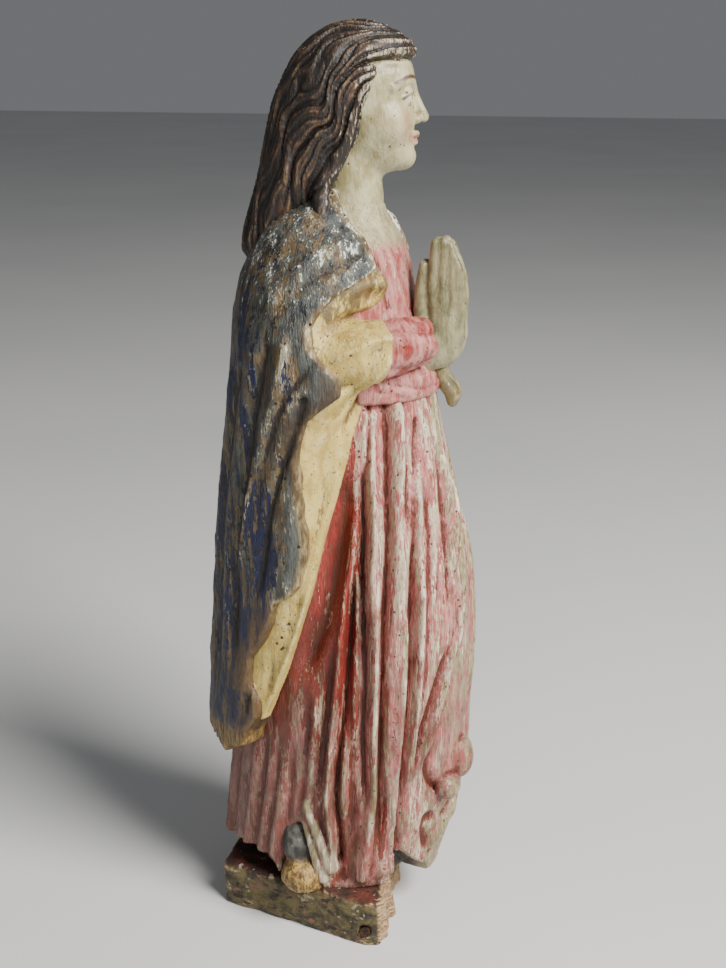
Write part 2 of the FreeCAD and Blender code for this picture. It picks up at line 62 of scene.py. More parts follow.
# Walls of the figure: height, front y, back y, half width.
ROBE_ROWS = [
    (6, -33, 45, 31), (17, -35, 46.5, 33), (34, -40, 45.5, 34), (52, -44, 43.5, 34.5), (80, -45, 40, 35),
    (105, -46, 38, 35), (133, -45, 35, 34), (160, -40, 32, 31), (188, -33, 29, 28), (202, -30.5, 27, 27),
    (215, -26.5, 26, 27), (230, -23, 25, 28), (243, -20.5, 23, 27), (250, -18, 20, 23),
    (256, -14.4, 13, 15.6), (262, -12.7, 8.6, 11.2), (266, -12.2, 8, 10.4),
]
CLOAK_ROWS = [
    (60, -38, 52, 42), (80, -40, 52, 42.5), (105, -42, 49.5, 42.5), (130, -40, 47.5, 42.5),
    (156, -36, 45.5, 43.5), (180, -34, 42.5, 45), (205, -32, 39.5, 47), (220, -29.5, 38, 46),
    (235, -26, 35.5, 42), (247, -22.5, 31, 35), (256, -19, 27, 28.5), (262, -16.5, 20, 21.5),
    (267, -13, 12, 13.5),
]
HAIR_ROWS = [
    (240, 24, 35, 12), (248, 15, 35, 19), (256, 5, 33, 21.5), (268, -5, 29.5, 22.5), (280, -12, 27, 22),
    (294, -20, 23.5, 21.5), (306, -23.4, 18, 19), (313, -21.6, 12.5, 15), (318, -13, 7, 9),
    (320.5, -6, 2, 3),
]


# --- noise and smooth shapes, for whole arrays at once ------------------------------------------------


def lattice(ix, iy, iz, seed):
    """A repeatable random number from 0 to 1 for each whole-number place."""
    n = ix.astype(np.uint32) * np.uint32(374761393) + iy.astype(np.uint32) * np.uint32(668265263)
    n = n + iz.astype(np.uint32) * np.uint32(2246822519) + np.uint32(seed * 3266489917 & 0xFFFFFFFF)
    n = (n ^ (n >> np.uint32(13))) * np.uint32(1274126177)
    return ((n ^ (n >> np.uint32(16))) & np.uint32(0xFFFF)).astype(np.float32) / 65535.0


def noise(x, y, z, seed=0):
    """Smooth noise from -1 to 1 with features about one unit long."""
    x, y, z = np.broadcast_arrays(x, y, z)
    fx, fy, fz = np.floor(x), np.floor(y), np.floor(z)
    ix, iy, iz = fx.astype(np.int64), fy.astype(np.int64), fz.astype(np.int64)
    tx, ty, tz = x - fx, y - fy, z - fz
    tx, ty, tz = (t * t * (3 - 2 * t) for t in (tx, ty, tz))
    total = 0.0
    for cx in (0, 1):
        for cy in (0, 1):
            for cz in (0, 1):
                share = (tx if cx else 1 - tx) * (ty if cy else 1 - ty) * (tz if cz else 1 - tz)
                total = total + share * lattice(ix + cx, iy + cy, iz + cz, seed)
    return 2 * total - 1


def rough_noise(x, y, z, size, seed=0, octaves=3):
    """Noise of several sizes, the largest with features of about size (one value or one for each axis)."""
    sx, sy, sz = size if isinstance(size, tuple) else (size,) * 3
    total, share = 0.0, 1.0
    for octave in range(octaves):
        scale = 2.0**octave
        total = total + share * noise(x * scale / sx, y * scale / sy, z * scale / sz, seed + 17 * octave)
        share *= 0.5
    return total


def soft_step(low, high, value):
    """0 at the first level and 1 at the second, smooth between them."""
    t = np.clip((value - low) / (high - low), 0, 1)
    return t * t * (3 - 2 * t)


def join(a, b, round_off):
    """Union of two fields, with the crease between them filled to a radius."""
    h = np.clip(0.5 + 0.5 * (b - a) / round_off, 0, 1)
    return b + (a - b) * h - round_off * h * (1 - h)


def meet(a, b, round_off):
    """Where both fields are inside, with the edge between them rounded."""
    return -join(-a, -b, round_off)


def cut(a, b, round_off):
    """The first field with the second taken away."""
    return meet(a, -b, round_off)


def egg(p, centre, radii):
    """Distance to an ellipsoid."""
    q = [(p[i] - centre[i]) / radii[i] for i in range(3)]
    k0 = np.sqrt(q[0] ** 2 + q[1] ** 2 + q[2] ** 2) + 1e-9
    k1 = np.sqrt(sum((q[i] / radii[i]) ** 2 for i in range(3))) + 1e-9
    return k0 * (k0 - 1) / k1


def stick(p, points, radii):
    """Distance to a chain of rounded rods through the points, with a radius at each or one for all."""
    if isinstance(radii, float):
        radii = [radii] * len(points)
    best = None
    for a, b, ra, rb in zip(points, points[1:], radii, radii[1:]):
        along = [b[i] - a[i] for i in range(3)]
        length2 = sum(v * v for v in along)
        t = np.clip(sum((p[i] - a[i]) * along[i] for i in range(3)) / length2, 0, 1)
        away = np.sqrt(sum((p[i] - a[i] - t * along[i]) ** 2 for i in range(3)))
        d = away - (ra + (rb - ra) * t)
        best = d if best is None else np.minimum(best, d)
    return best


def at_level(edge, level):
    """The second number of an edge, given as (level, number) pairs, at any levels."""
    return np.interp(level, *np.array(sorted(edge), float).T)


def arc(degrees, reach):
    """Length of this many degrees round the figure, at this distance from its centre line."""
    return degrees * np.radians(1) * reach


def through(points, count=6):
    """More points on a smooth curve through these."""
    points = np.array(points, float)
    ends = np.vstack([2 * points[0] - points[1], points, 2 * points[-1] - points[-2]])
    smooth = []
    for i in range(1, len(ends) - 2):
        a, b, c, d = ends[i - 1], ends[i], ends[i + 1], ends[i + 2]
        for step in range(count):
            t = step / count
            bend = (2 * a - 5 * b + 4 * c - d) * t**2 + (3 * b - a - 3 * c + d) * t**3
            smooth.append(0.5 * (2 * b + (c - a) * t + bend))
    smooth.append(points[-1])
    return np.array(smooth)


# --- walls --------------------------------------------------------------------------------------------


class Wall:
    """An upright carved surface, as the distance from its centre line at each height and bearing."""

    def __init__(self, rows):
        fine = through(rows)
        self.low = rows[0][0]
        self.z = np.arange(self.low, rows[-1][0] + HEIGHT_STEP, HEIGHT_STEP)[:, None]
        front, back, half = (np.interp(self.z, fine[:, 0], fine[:, k]) for k in (1, 2, 3))
        self.middle, depth = (front + back) / 2, (back - front) / 2
        turn = np.radians(BEARINGS)[None, :]
        self.r = half * depth / np.hypot(depth * np.sin(turn), half * np.cos(turn))
        self.arc = np.mean(self.r, axis=1, keepdims=True) * math.pi / 180
        self.plain = self.r.copy()

    def distance(self, path):
        """Distance over the surface to a path of (bearing, height) points, how far along, and its length."""
        fine = through(path) if len(path) > 2 else np.array(path, float)
        best = np.full(self.r.shape, 1e6, np.float32)
        along = np.zeros(self.r.shape, np.float32)
        length = 0.0
        for (b0, z0), (b1, z1) in zip(fine, fine[1:]):
            across = (BEARINGS[None, :] - b0 + 180) % 360 - 180
            ax, ay = across * self.arc, self.z - z0
            bx, by = (b1 - b0) * self.arc, z1 - z0
            t = np.clip((ax * bx + ay * by) / (bx * bx + by * by + 1e-9), 0, 1)
            away = np.hypot(ax - t * bx, ay - t * by)
            step = math.hypot((b1 - b0) * float(self.arc.mean()), z1 - z0)
            along = np.where(away < best, length + t * step, along)
            best = np.minimum(best, away)
            length += step
        return best, along, length

    def groove(self, height, width, path):
        """Raises a ridge, or with a negative height cuts a groove. It dies away at an end in open cloth."""
        away, along, length = self.distance(path)
        fade = min(GROOVE_FADE, length / 3)
        share = 1.0
        if path[0][1] < OPEN_CLOTH_TOP:
            share = share * soft_step(0, fade, along)
        if path[-1][1] > OPEN_CLOTH_LOW:
            share = share * soft_step(0, fade, length - along)
        self.r += height * share * np.exp(-((away / width) ** 2))

    def grain(self, amount, across, up, seed):
        """Roughens the wall, with marks of this size round it and up it."""
        turn = np.radians(BEARINGS)[None, :]
        x, y = -self.plain * np.sin(turn), -self.plain * np.cos(turn)
        self.r += amount * rough_noise(x, y, self.z + 0 * x, (across, across, up), seed)

    def place(self, x, y, z):
        """Bearing and distance from the centre line of any points."""
        across = y - np.interp(z, self.z[:, 0], self.middle[:, 0])
        return np.degrees(np.arctan2(-x, -across)), np.hypot(x, across)

    def points(self, path, proud):
        """Places in space of (bearing, height) points, this far outside the wall."""
        found = []
        for bearing, z in path:
            turn = math.radians(bearing)
            reach = self.look_up(self.r, np.array(bearing), np.array(z)) + proud
            centre = np.interp(z, self.z[:, 0], self.middle[:, 0])
            found.append((-reach * math.sin(turn), centre - reach * math.cos(turn), z))
        return found

    def look_up(self, layer, bearing, z):
        """The value of a map of this wall at these points."""
        column = (bearing + 180) / BEARING_STEP
        row = np.clip((z - self.low) / HEIGHT_STEP, 0, len(self.z) - 1.001)
        c0, r0 = np.floor(column).astype(int), np.floor(row).astype(int)
        tc, tr = column - c0, row - r0
        c0 = c0 % len(BEARINGS)
        c1 = (c0 + 1) % len(BEARINGS)
        return (
            layer[r0, c0] * (1 - tc) * (1 - tr) + layer[r0, c1] * tc * (1 - tr)
            + layer[r0 + 1, c0] * (1 - tc) * tr + layer[r0 + 1, c1] * tc * tr
        )

    def field(self, x, y, z, layer=None, proud=0.0):
        """Distance outside the wall, or outside another map of the same centre line."""
        bearing, reach = self.place(x, y, z)
        x, y, z, bearing = np.broadcast_arrays(x, y, z, bearing)
        return reach - proud - self.look_up(self.r if layer is None else layer, bearing, z)


# --- meshing ------------------------------------------------------------------------------------------


SMOOTHING = 10                # rounds of smoothing against which ridges and hollows are told apart
CHIP_SIZE = (1.6, 1.6, 5.0)   # size of the tool marks left on every surface
CORNERS = [(i, j, k) for i in (0, 1) for j in (0, 1) for k in (0, 1)]
# Pairs of corners that differ along one axis only.
EDGES = [
    (a, b) for a in range(8) for b in range(a + 1, 8)
    if sum(p != q for p, q in zip(CORNERS[a], CORNERS[b])) == 1
]


def contour(field, low, step):
    """Quads round the inside (negative part) of a field sampled on a grid."""
    inside = field < 0
    shape = [n - 1 for n in field.shape]
    count = np.zeros(shape, np.uint8)
    for i, j, k in CORNERS:
        count += inside[i:i + shape[0], j:j + shape[1], k:k + shape[2]]
    cells = np.argwhere((count > 0) & (count < 8))
    values = np.stack([field[tuple((cells + c).T)] for c in CORNERS], axis=1)
    total, hits = np.zeros((len(cells), 3)), np.zeros(len(cells))
    for a, b in EDGES:
        crossed = (values[:, a] < 0) != (values[:, b] < 0)
        gap = np.where(crossed, values[:, a] - values[:, b], 1.0)
        t = (values[:, a] / gap)[:, None]
        point = np.array(CORNERS[a]) * (1 - t) + np.array(CORNERS[b]) * t
        total += np.where(crossed[:, None], point, 0)
        hits += crossed
    points = (cells + total / hits[:, None]) * step + np.array(low)
    index = np.full(shape, -1, np.int32)
    index[tuple(cells.T)] = np.arange(len(cells))
    quads = []
    for axis in range(3):
        u, v = (axis + 1) % 3, (axis + 2) % 3
        first = np.take(inside, range(0, field.shape[axis] - 1), axis)
        second = np.take(inside, range(1, field.shape[axis]), axis)
        crossing = np.argwhere(first != second)
        keep = (crossing[:, u] > 0) & (crossing[:, v] > 0)
        keep &= (crossing[:, u] < shape[u]) & (crossing[:, v] < shape[v])
        crossing = crossing[keep]
        ring = []
        for du, dv in ((-1, -1), (0, -1), (0, 0), (-1, 0)):
            cell = crossing.copy()
            cell[:, u] += du
            cell[:, v] += dv
            ring.append(index[tuple(cell.T)])
        ring = np.stack(ring, axis=1)
        flip = ~first[tuple(crossing.T)]
        ring[flip] = ring[flip][:, ::-1]
        quads.append(ring)
    return points, np.vstack(quads)


def relief(points, quads, rounds):
    """How far each point stands out of, or lies below, its smoothed surroundings, in millimetres."""
    edges = np.vstack([quads[:, [0, 1]], quads[:, [1, 2]], quads[:, [2, 3]], quads[:, [3, 0]]])
    degree = np.bincount(edges[:, 0], minlength=len(points)) + np.bincount(edges[:, 1], minlength=len(points))
    smooth = points.copy()
    for _ in range(rounds):
        total = np.zeros_like(smooth)
        for axis in range(3):
            total[:, axis] = np.bincount(edges[:, 0], smooth[edges[:, 1], axis], len(points))
            total[:, axis] += np.bincount(edges[:, 1], smooth[edges[:, 0], axis], len(points))
        smooth = total / np.maximum(degree, 1)[:, None]
    return points - smooth


def side_box(side, inner, outer, low, high):
    """A box on one side of the figure, between two distances from its middle and two (y, z) corners."""
    left, right = sorted((-side * inner, -side * outer))
    return (left, *low), (right, *high)


def mesh_piece(name, node, box, field_at, step, chips, masks=None):
    """Carves a piece from a field and hangs it on the frame in place of a CAD node, or of several.

    field_at(x, y, z) is negative inside.  step is the size of the mesh, and chips is how rough its surface
    is.  masks maps a name to a function of the points, for paint that follows the carving.
    """
    low, high = np.array(box[0], float), np.array(box[1], float)
    axes = [np.arange(low[i], high[i] + step, step, dtype=np.float32) for i in range(3)]
    x, y, z = axes[0][:, None, None], axes[1][None, :, None], axes[2][None, None, :]
    values = field_at(x, y, z).astype(np.float32)
    for axis in range(3):
        rim = [slice(None)] * 3
        for end in (0, -1):
            rim[axis] = end
            values[tuple(rim)] = np.maximum(values[tuple(rim)], 0.1)
    points, quads = contour(values, low, step)
    out = relief(points, quads, SMOOTHING)
    mesh = bpy.data.meshes.new(name)
    mesh.vertices.add(len(points))
    mesh.loops.add(4 * len(quads))
    mesh.polygons.add(len(quads))
    mesh.vertices.foreach_set("co", (points * MM).astype(np.float32).ravel())
    mesh.loops.foreach_set("vertex_index", quads.astype(np.int32).ravel())
    mesh.polygons.foreach_set("loop_start", np.arange(0, 4 * len(quads), 4, dtype=np.int32))
    mesh.polygons.foreach_set("use_smooth", np.ones(len(quads), bool))
    mesh.update(calc_edges=True)
    mesh.validate()
    normals = np.empty(3 * len(points), np.float32)
    mesh.vertex_normals.foreach_get("vector", normals)
    normals = normals.reshape(-1, 3)
    # How far each point stands out of its surroundings: the paint rubs the ridges by it and lays painted
    # shade in the hollows.
    wear_and_shade = np.sum(out * normals, axis=1)
    push = chips * rough_noise(*points.T, CHIP_SIZE, 5)
    points = points + normals * push[:, None]
    mesh.vertices.foreach_set("co", (points * MM).astype(np.float32).ravel())
    layers = {"wear_and_shade": wear_and_shade, **{key: mask(*points.T) for key, mask in (masks or {}).items()}}
    for key, layer in layers.items():
        data = mesh.attributes.new(key, "FLOAT", "POINT")
        data.data.foreach_set("value", np.ascontiguousarray(layer, np.float32))
    mesh.update()
    piece = bpy.data.objects.new(name, mesh)
    bpy.context.scene.collection.objects.link(piece)
    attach(piece, ROOT)
    for cad_node in (node if isinstance(node, tuple) else (node,)):
        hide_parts(cad_node)
    print(name, len(quads) * 2, "triangles")
    return piece


# --- robe ---------------------------------------------------------------------------------------------

WAIST = 199.0            # height at which the skirt's mesh gives way to the bodice's
NECKLINE = 261.5
# Lower edge of the skirt, height against bearing: it lifts over the shoe, over a hollow and a little behind.
HEM = [
    (-180, 19), (-120, 18), (-60, 17), (-15, 17), (6, 15), (13, 15.5), (17, 20), (24, 23), (33, 28),
    (40, 31.5), (42, 24), (44, 17), (70, 16.5), (85, 17), (112, 20), (118, 25), (135, 27), (160, 24),
    (180, 19),
]
CUT_DEPTH = 1.7          # how deep the carver went, against the heights written below
# Carved marks of the skirt: height (negative for a groove), width, then the path as (bearing, height) points.
SKIRT_MARKS = [
    (-1.0, 1.2, [(12, 186), (18, 168), (22, 150), (26, 130), (31, 112)]),
    (-0.9, 1.0, [(25, 166), (29, 150), (32, 135), (34, 118)]),
    (-1.0, 1.5, [(28, 172), (32, 155), (35, 140), (37, 128)]),
    (-1.0, 1.0, [(29, 190), (36, 175), (40, 165), (43, 152)]),
    (-2.6, 1.9, [(38, 158), (42, 148), (45.5, 135), (47, 120), (46.5, 100), (47, 80), (47.5, 60),
                 (46.5, 45), (43, 30)]),
    (-2.4, 1.5, [(50, 198), (53, 180), (56, 165), (58.5, 150), (61, 135), (62.5, 120), (61.5, 100),
                 (60.5, 80), (57.5, 50), (56, 34)]),
    (-1.1, 2.3, [(56, 198), (58.5, 185), (61, 172), (62, 158)]),
    (-2.6, 1.7, [(68, 182), (71, 165), (72.5, 150), (73.5, 135), (72, 115), (70.5, 100), (69.5, 80),
                 (67, 65), (65, 48)]),
    (-2.0, 3.6, [(75, 156), (78, 135), (78, 110), (77, 80), (74, 60), (72, 40), (70, 22)]),
    (-3.0, 1.7, [(80.5, 142), (82, 118), (83, 95), (84, 75), (84, 58), (82, 48), (77.5, 38), (74, 28)]),
    (-3.0, 5.0, [(79, 178), (88, 152), (95, 131), (104, 112), (112, 96)]),
    (-1.1, 1.6, [(91, 118), (91.5, 100), (92.5, 85), (94, 70), (97, 50)]),
    (-0.9, 1.7, [(103, 96), (104, 66), (107, 40)]),
    (-1.0, 2.2, [(112, 76), (113, 50), (112, 26)]),
    (-0.8, 2.0, [(121, 80), (122, 50), (123, 24)]),
    (-1.1, 2.4, [(131, 78), (132, 50), (133, 20)]),
    (-0.8, 2.0, [(143, 80), (143, 50), (145, 20)]),
    (-1.6, 1.4, [(17, 112), (22, 97), (26, 86), (28, 75)]),
    (-1.7, 1.7, [(13, 50), (22, 53), (29, 58), (33, 66), (31, 75)]),
    (0.9, 2.8, [(20, 192), (25, 175), (27, 160)]),
    (1.1, 0.9, [(27, 164), (29.5, 150), (32.5, 138), (34, 130), (34.5, 118)]),
    (1.7, 1.3, [(35, 178), (38, 165), (40.5, 150), (42, 135), (42.3, 110), (42.8, 90), (43.5, 70),
                (45, 52)]),
    (1.4, 1.1, [(50.5, 130), (51, 110), (51, 90), (50.5, 70), (49.5, 50), (47.5, 38), (44.5, 24)]),
    (1.5, 4.0, [(47, 192), (49, 175), (52, 160), (54, 145), (55, 125), (54.5, 100), (54, 75), (52, 50),
                (50, 24)]),
    (1.1, 0.7, [(59.5, 118), (59.2, 100), (58.5, 85), (57.5, 70), (56, 55)]),
    (1.7, 2.4, [(63, 192), (65, 175), (66.5, 160), (68, 145), (68.5, 130), (67, 118), (66, 100),
                (65, 80), (63, 60), (62, 40), (60, 22)]),
    (1.2, 1.0, [(69.5, 150), (71, 138), (69.5, 126), (66, 118)]),
    (2.4, 1.5, [(77.5, 162), (79.5, 150), (82.2, 140), (84.5, 128), (86, 110), (87, 90), (87.8, 70),
                (88, 57), (86, 48), (82.5, 40), (77.5, 29)]),
    (1.0, 1.0, [(76, 152), (77.5, 130), (77.5, 105), (76, 85), (74, 66)]),
    (1.1, 1.8, [(80, 82), (80, 62), (77, 42)]),
    (1.5, 1.6, [(16, 118), (22, 104), (27, 94), (31, 84), (35, 73), (39, 60)]),
    (-1.7, 1.3, [(22, 114), (29, 99), (34, 87), (38, 76), (42, 64)]),
    (1.5, 1.6, [(8, 180), (10, 160), (13, 140), (16, 120), (20, 104)]),
    (-1.5, 1.2, [(12, 196), (14, 176), (17, 158), (21, 140), (25, 122)]),
    (0.9, 0.8, [(22, 150), (25, 134), (29, 118), (33, 104)]),
    (-1.3, 1.0, [(38, 196), (41, 180), (45, 165), (48, 152)]),
    (1.0, 0.9, [(42, 196), (45, 181), (49, 166)]),
    (-1.4, 0.9, [(63, 196), (65, 186), (68, 172)]),
    (1.0, 2.2, [(98, 100), (99, 80), (101, 62)]),
    (0.8, 3.0, [(117, 74), (118, 50), (118, 28)]),
    (0.7, 3.0, [(126, 76), (127, 50), (128, 26)]),
    (0.9, 3.4, [(138, 78), (138, 50), (139, 22)]),
    (1.6, 3.4, [(9, 70), (8, 58)]),
    (1.4, 2.2, [(2, 46), (10, 41), (18, 34), (24, 24)]),
    (-1.5, 1.8, [(6, 50), (13, 44), (20, 40)]),
    (-1.3, 1.6, [(30, 48), (27, 36), (20, 26)]),
]
# Marks of the bodice, the same on both sides.
BODICE_MARKS = [
    (-0.7, 2.2, [(10, 226), (16, 238), (24, 250)]),
    (1.0, 3.2, [(22, 224), (27, 238), (34, 249)]),
    (-1.6, 1.6, [(38, 228), (43, 238), (52, 248), (62, 257)]),
]
FIRST_FAR_FOLD, LAST_FAR_FOLD = -2.0, -172.0     # bearings between which the left side's folds are drawn
BACK_FOLDS = (156, 168, 179)


def robe_wall():
    """The robe with its folds: the right side's are listed, and the left side's follow in a loop."""
    wall = Wall(ROBE_ROWS)
    draws = np.random.default_rng(7)
    bearing = FIRST_FAR_FOLD
    while bearing > LAST_FAR_FOLD:
        sway, lean = draws.uniform(-3, 3), draws.uniform(-0.03, 0.03)
        top, bottom = draws.uniform(150, 192), draws.uniform(18, 30)
        heights = np.linspace(top, bottom, 7)
        squeeze = 0.72 + 0.28 * np.clip((190 - heights) / 90, 0, 1)
        line = FIRST_FAR_FOLD + (bearing - FIRST_FAR_FOLD) * squeeze
        line = line + sway * np.sin(heights / 28) + lean * (heights - 100)
        path = list(zip(line, heights))
        wall.groove(-draws.uniform(1.5, 2.8), draws.uniform(1.3, 2.2), path)
        wall.groove(draws.uniform(1.2, 2.0), draws.uniform(1.8, 2.8), [(b - 5.5, z) for b, z in path[1:-1]])
        bearing -= draws.uniform(9, 13)
    for bearing in BACK_FOLDS:
        wall.groove(-1.8, 1.8, [(bearing, 84), (bearing + 1, 20)])
        wall.groove(1.4, 2.4, [(bearing + 6, 80), (bearing + 6, 20)])
    for height, width, path in SKIRT_MARKS:
        wall.groove(height * CUT_DEPTH, width, path)
    for side in (-1, 1):
        for height, width, path in BODICE_MARKS:
            wall.groove(height, width, [(side * b, z) for b, z in path])
    wall.grain(0.22, 3.0, 16.0, 3)
    wall.grain(0.12, 1.1, 5.0, 4)
    return wall


def turned_back(wall):
    """The two strips of hem turned back over the shoe, each as its middle line and half its widths."""
    upper = through(wall.points([(101, 51), (96, 45), (90, 39), (84, 33), (79, 27)], 0.2), 5)
    lower = through(wall.points([(100, 42), (95, 37), (89, 30), (82, 22)], -0.4), 5)
    return [(upper, np.linspace(1.2, 3.0, len(upper))), (lower, np.linspace(1.0, 2.8, len(lower)))]


def robe_field(wall):
    """Skirt and bodice, with the hem's openings, the strips over the shoe and the bunched cloth."""
    strips = turned_back(wall)

    def at(x, y, z):
        p = (x, y, z)
        body = wall.field(x, y, z) * 0.85
        bearing, _ = wall.place(x, y, z)
        body = meet(body, at_level(HEM, bearing) - z, 1.2)
        core = np.maximum(np.hypot(x / 0.8, y - 6) - 31, PLINTH_TOP - 0.3 - z)
        body = np.minimum(body, np.maximum(core, z - 40))
        over_shoe = egg(p, (-37, 9.5, 15), (15, 8.5, 29))
        body = cut(body, over_shoe, 1.0)
        for line, sizes in strips:
            body = join(body, stick(p, line, sizes), 0.6)
        bunch = egg(p, (-4.5, -44.5, 62), (5.2, 4.2, 8.0))
        bunch = join(bunch, egg(p, (-13.0, -41.0, 54), (7.2, 4.6, 4.6)), 0.8)
        bunch = cut(bunch, stick(p, [(-9, -48, 66), (-8, -48, 58), (-3, -50, 53)], [0.9, 1.0, 0.8]), 1.0)
        body = join(body, bunch, 0.8)
        hollow_under_it = egg(p, (-19.0, -37.5, 42), (3.6, 5.0, 4.0))
        body = cut(body, hollow_under_it, 0.8)
        ragged = 0.9 * noise(x / 2.2, y / 2.2, z / 2.2, 15)
        return meet(body, z - (NECKLINE + 0.35 * ragged), 2.2)
    return at


def make_robe(wall):
    """The robe in two meshes, so that neither grows too large."""
    def whiter(x, y, z):
        on_strip = np.minimum(*(stick((x, y, z), line, sizes) for line, sizes in turned_back(wall)))
        under_bunch = soft_step(34, 24, np.abs(wall.place(x, y, z)[0] - 8)) * soft_step(54, 46, z)
        return np.maximum(soft_step(1.2, 0.4, on_strip), 0.6 * under_bunch)

    masks = {
        "bearing": lambda x, y, z: wall.place(x, y, z)[0],
        # Deep inside the robe's outer wall: the hem's hollow, which gets painted shade.
        "inside": lambda x, y, z: soft_step(3.0, 7.0, -wall.field(x, y, z)),
        "whiter": whiter,
    }
    whole = robe_field(wall)
    skirt = mesh_piece(
        "robe_skirt", "robe", ((-42, -52, 5), (42, 52, WAIST)),
        lambda x, y, z: np.maximum(whole(x, y, z), z - (WAIST - 0.5)),
        step=0.92, chips=0.1, masks=masks,
    )
    bodice = mesh_piece(
        "robe_bodice", "robe", ((-36, -36, WAIST - 2), (36, 34, 268)),
        lambda x, y, z: np.maximum(np.maximum(whole(x, y, z), WAIST - 1 - z), z - (NECKLINE + 2.5)),
        step=0.75, chips=0.1, masks=masks,
    )
    return skirt, bodice


# --- cloak and lining ---------------------------------------------------------------------------------

# Free edge of the cloak on the right: bearing against height, from the neck to the hem.
CLOAK_EDGE = [
    (267, 92), (262, 76), (258, 65), (252, 55), (245, 49), (242, 48), (239, 60), (235, 73), (230, 80),
    (225, 85), (219, 84.5), (213, 78), (207, 72), (203, 72), (199, 80), (195, 87), (190, 90), (183, 91),
    (170, 90), (156, 87.5), (146, 88.5), (137, 92), (132, 98), (128.5, 105), (121, 108), (113, 115),
    (106, 121), (98, 121), (91, 117), (85, 114), (78, 120), (58, 125),
]
# Front edge of the lining that shows inside it.
LINING_EDGE = [
    (243, 44), (238, 37), (233, 35), (229, 38), (226.5, 47), (224, 50), (219, 50), (212, 51), (205, 53),
    (197, 57), (185, 64.5), (175, 68.5), (165, 73), (155, 78), (145, 83), (135, 87.5), (120, 95.5),
    (110, 100.5), (100, 105.5), (92, 109.5), (83, 114),
]
LINING_LAP = 14           # degrees that the lining goes on under the cloak
LINING_LOW, LINING_HIGH = 82.5, 243
# Carved marks of the cloak and of its lining, written as for the skirt.
CLOAK_MARKS = [
    (1.5, 2.0, [(95, 219), (100, 205), (106, 190), (113, 175), (118, 160), (124, 145), (130, 128)]),
    (-1.9, 1.5, [(88, 202), (92, 191), (98, 178), (103, 165), (108, 150), (112, 138), (116, 126)]),
    (1.4, 3.0, [(93, 178), (95, 160), (98, 142), (101, 134)]),
    (1.0, 2.4, [(97, 140), (101, 133)]),
    (-1.6, 1.6, [(104, 218), (109, 203), (114, 189), (118, 172), (123, 155), (128, 138), (131, 118),
                 (131, 100)]),
    (-1.1, 1.3, [(84, 214), (90, 208), (97, 200), (103, 188), (108, 176)]),
    (1.2, 2.4, [(113, 214), (119, 198), (126, 180), (131, 160), (136, 140), (139, 110), (139, 90)]),
    (-1.4, 1.8, [(124, 208), (131, 190), (138, 168), (144, 140), (147, 110), (147, 80)]),
    (1.3, 2.6, [(135, 205), (143, 180), (150, 150), (155, 120), (156, 85)]),
    (-1.8, 2.0, [(149, 222), (155, 190), (161, 150), (164, 110), (164, 76)]),
    (1.3, 3.0, [(167, 225), (172, 180), (175, 130), (175, 80)]),
    (-1.6, 1.6, [(117, 116), (120, 100), (121, 82)]),
    (1.3, 1.8, [(112, 108), (116, 100), (116, 88)]),
    (-1.2, 1.4, [(60, 246), (75, 243), (88, 238), (97, 230)]),
    (1.2, 2.2, [(58, 251), (75, 249), (92, 243), (103, 233)]),
    (-0.9, 2.0, [(70, 257), (90, 253), (108, 244)]),
]
LINING_MARKS = [
    (3.0, 2.6, [(38, 236), (50, 237), (62, 236), (72, 232)]),
    (1.6, 1.6, [(42, 241), (44, 235), (45, 229)]),
    (-1.5, 1.6, [(50, 240), (52, 234), (56, 230)]),
    (-3.6, 1.7, [(40, 227), (52, 226.5), (64, 227), (78, 226)]),
    (2.6, 1.8, [(51, 222), (60, 221), (70, 217.5), (82, 212)]),
    (-3.0, 2.0, [(57, 216), (64, 212), (72, 206), (80, 201)]),
    (1.8, 1.3, [(53, 214), (58, 208), (64, 201), (73, 193), (80, 187)]),
    (-1.4, 1.5, [(57, 204), (62, 199), (68, 193), (73, 186)]),
    (1.2, 1.3, [(69, 184), (76, 167), (83, 151), (90, 134), (97, 118), (105, 103), (112, 90)]),
    (-1.1, 2.6, [(80, 188), (81, 172), (85, 156), (90, 141)]),
    (-0.8, 1.5, [(111, 108), (112, 97), (113, 90)]),
]


def cloak_wall():
    """The outside of the cloak. The left side has the right side's folds, shifted so that it isn't a copy."""
    wall = Wall(CLOAK_ROWS)
    for height, width, path in CLOAK_MARKS:
        wall.groove(height, width, path)
        wall.groove(height * 0.9, width * 1.1, [(-b - 4 - 3 * math.sin(z / 23), z + 2) for b, z in path])
    wall.grain(0.35, 5.0, 26.0, 11)
    wall.grain(0.16, 1.4, 7.0, 12)
    return wall


def cloak_field(robe, wall):
    """The cloak, solid from the robe out, with a wavering front edge and a ragged hem."""
    def at(x, y, z):
        bearing, reach = wall.place(x, y, z)
        body = wall.field(x, y, z) * 0.9
        limit = at_level(CLOAK_EDGE, z) + 0.9 * noise(z / 5, 0 * z, 0 * z, 20)
        other_side = 2.0 * np.sin(z / 17) * (bearing < 0)
        body = meet(body, arc(limit - other_side - np.abs(bearing), reach), 1.3)
        ragged = 1.8 * noise(bearing / 6, 0 * z, 0 * z, 21) + 1.4 * noise(bearing / 2.1, 0 * z, 0 * z, 22)
        hem = 68.5 + ragged + 6 * soft_step(135, 112, np.abs(bearing))
        body = meet(body, hem - z, 1.5)
        inner = robe.field(x, y, z, robe.plain, -0.5)
        return np.maximum(body, -inner)
    return at


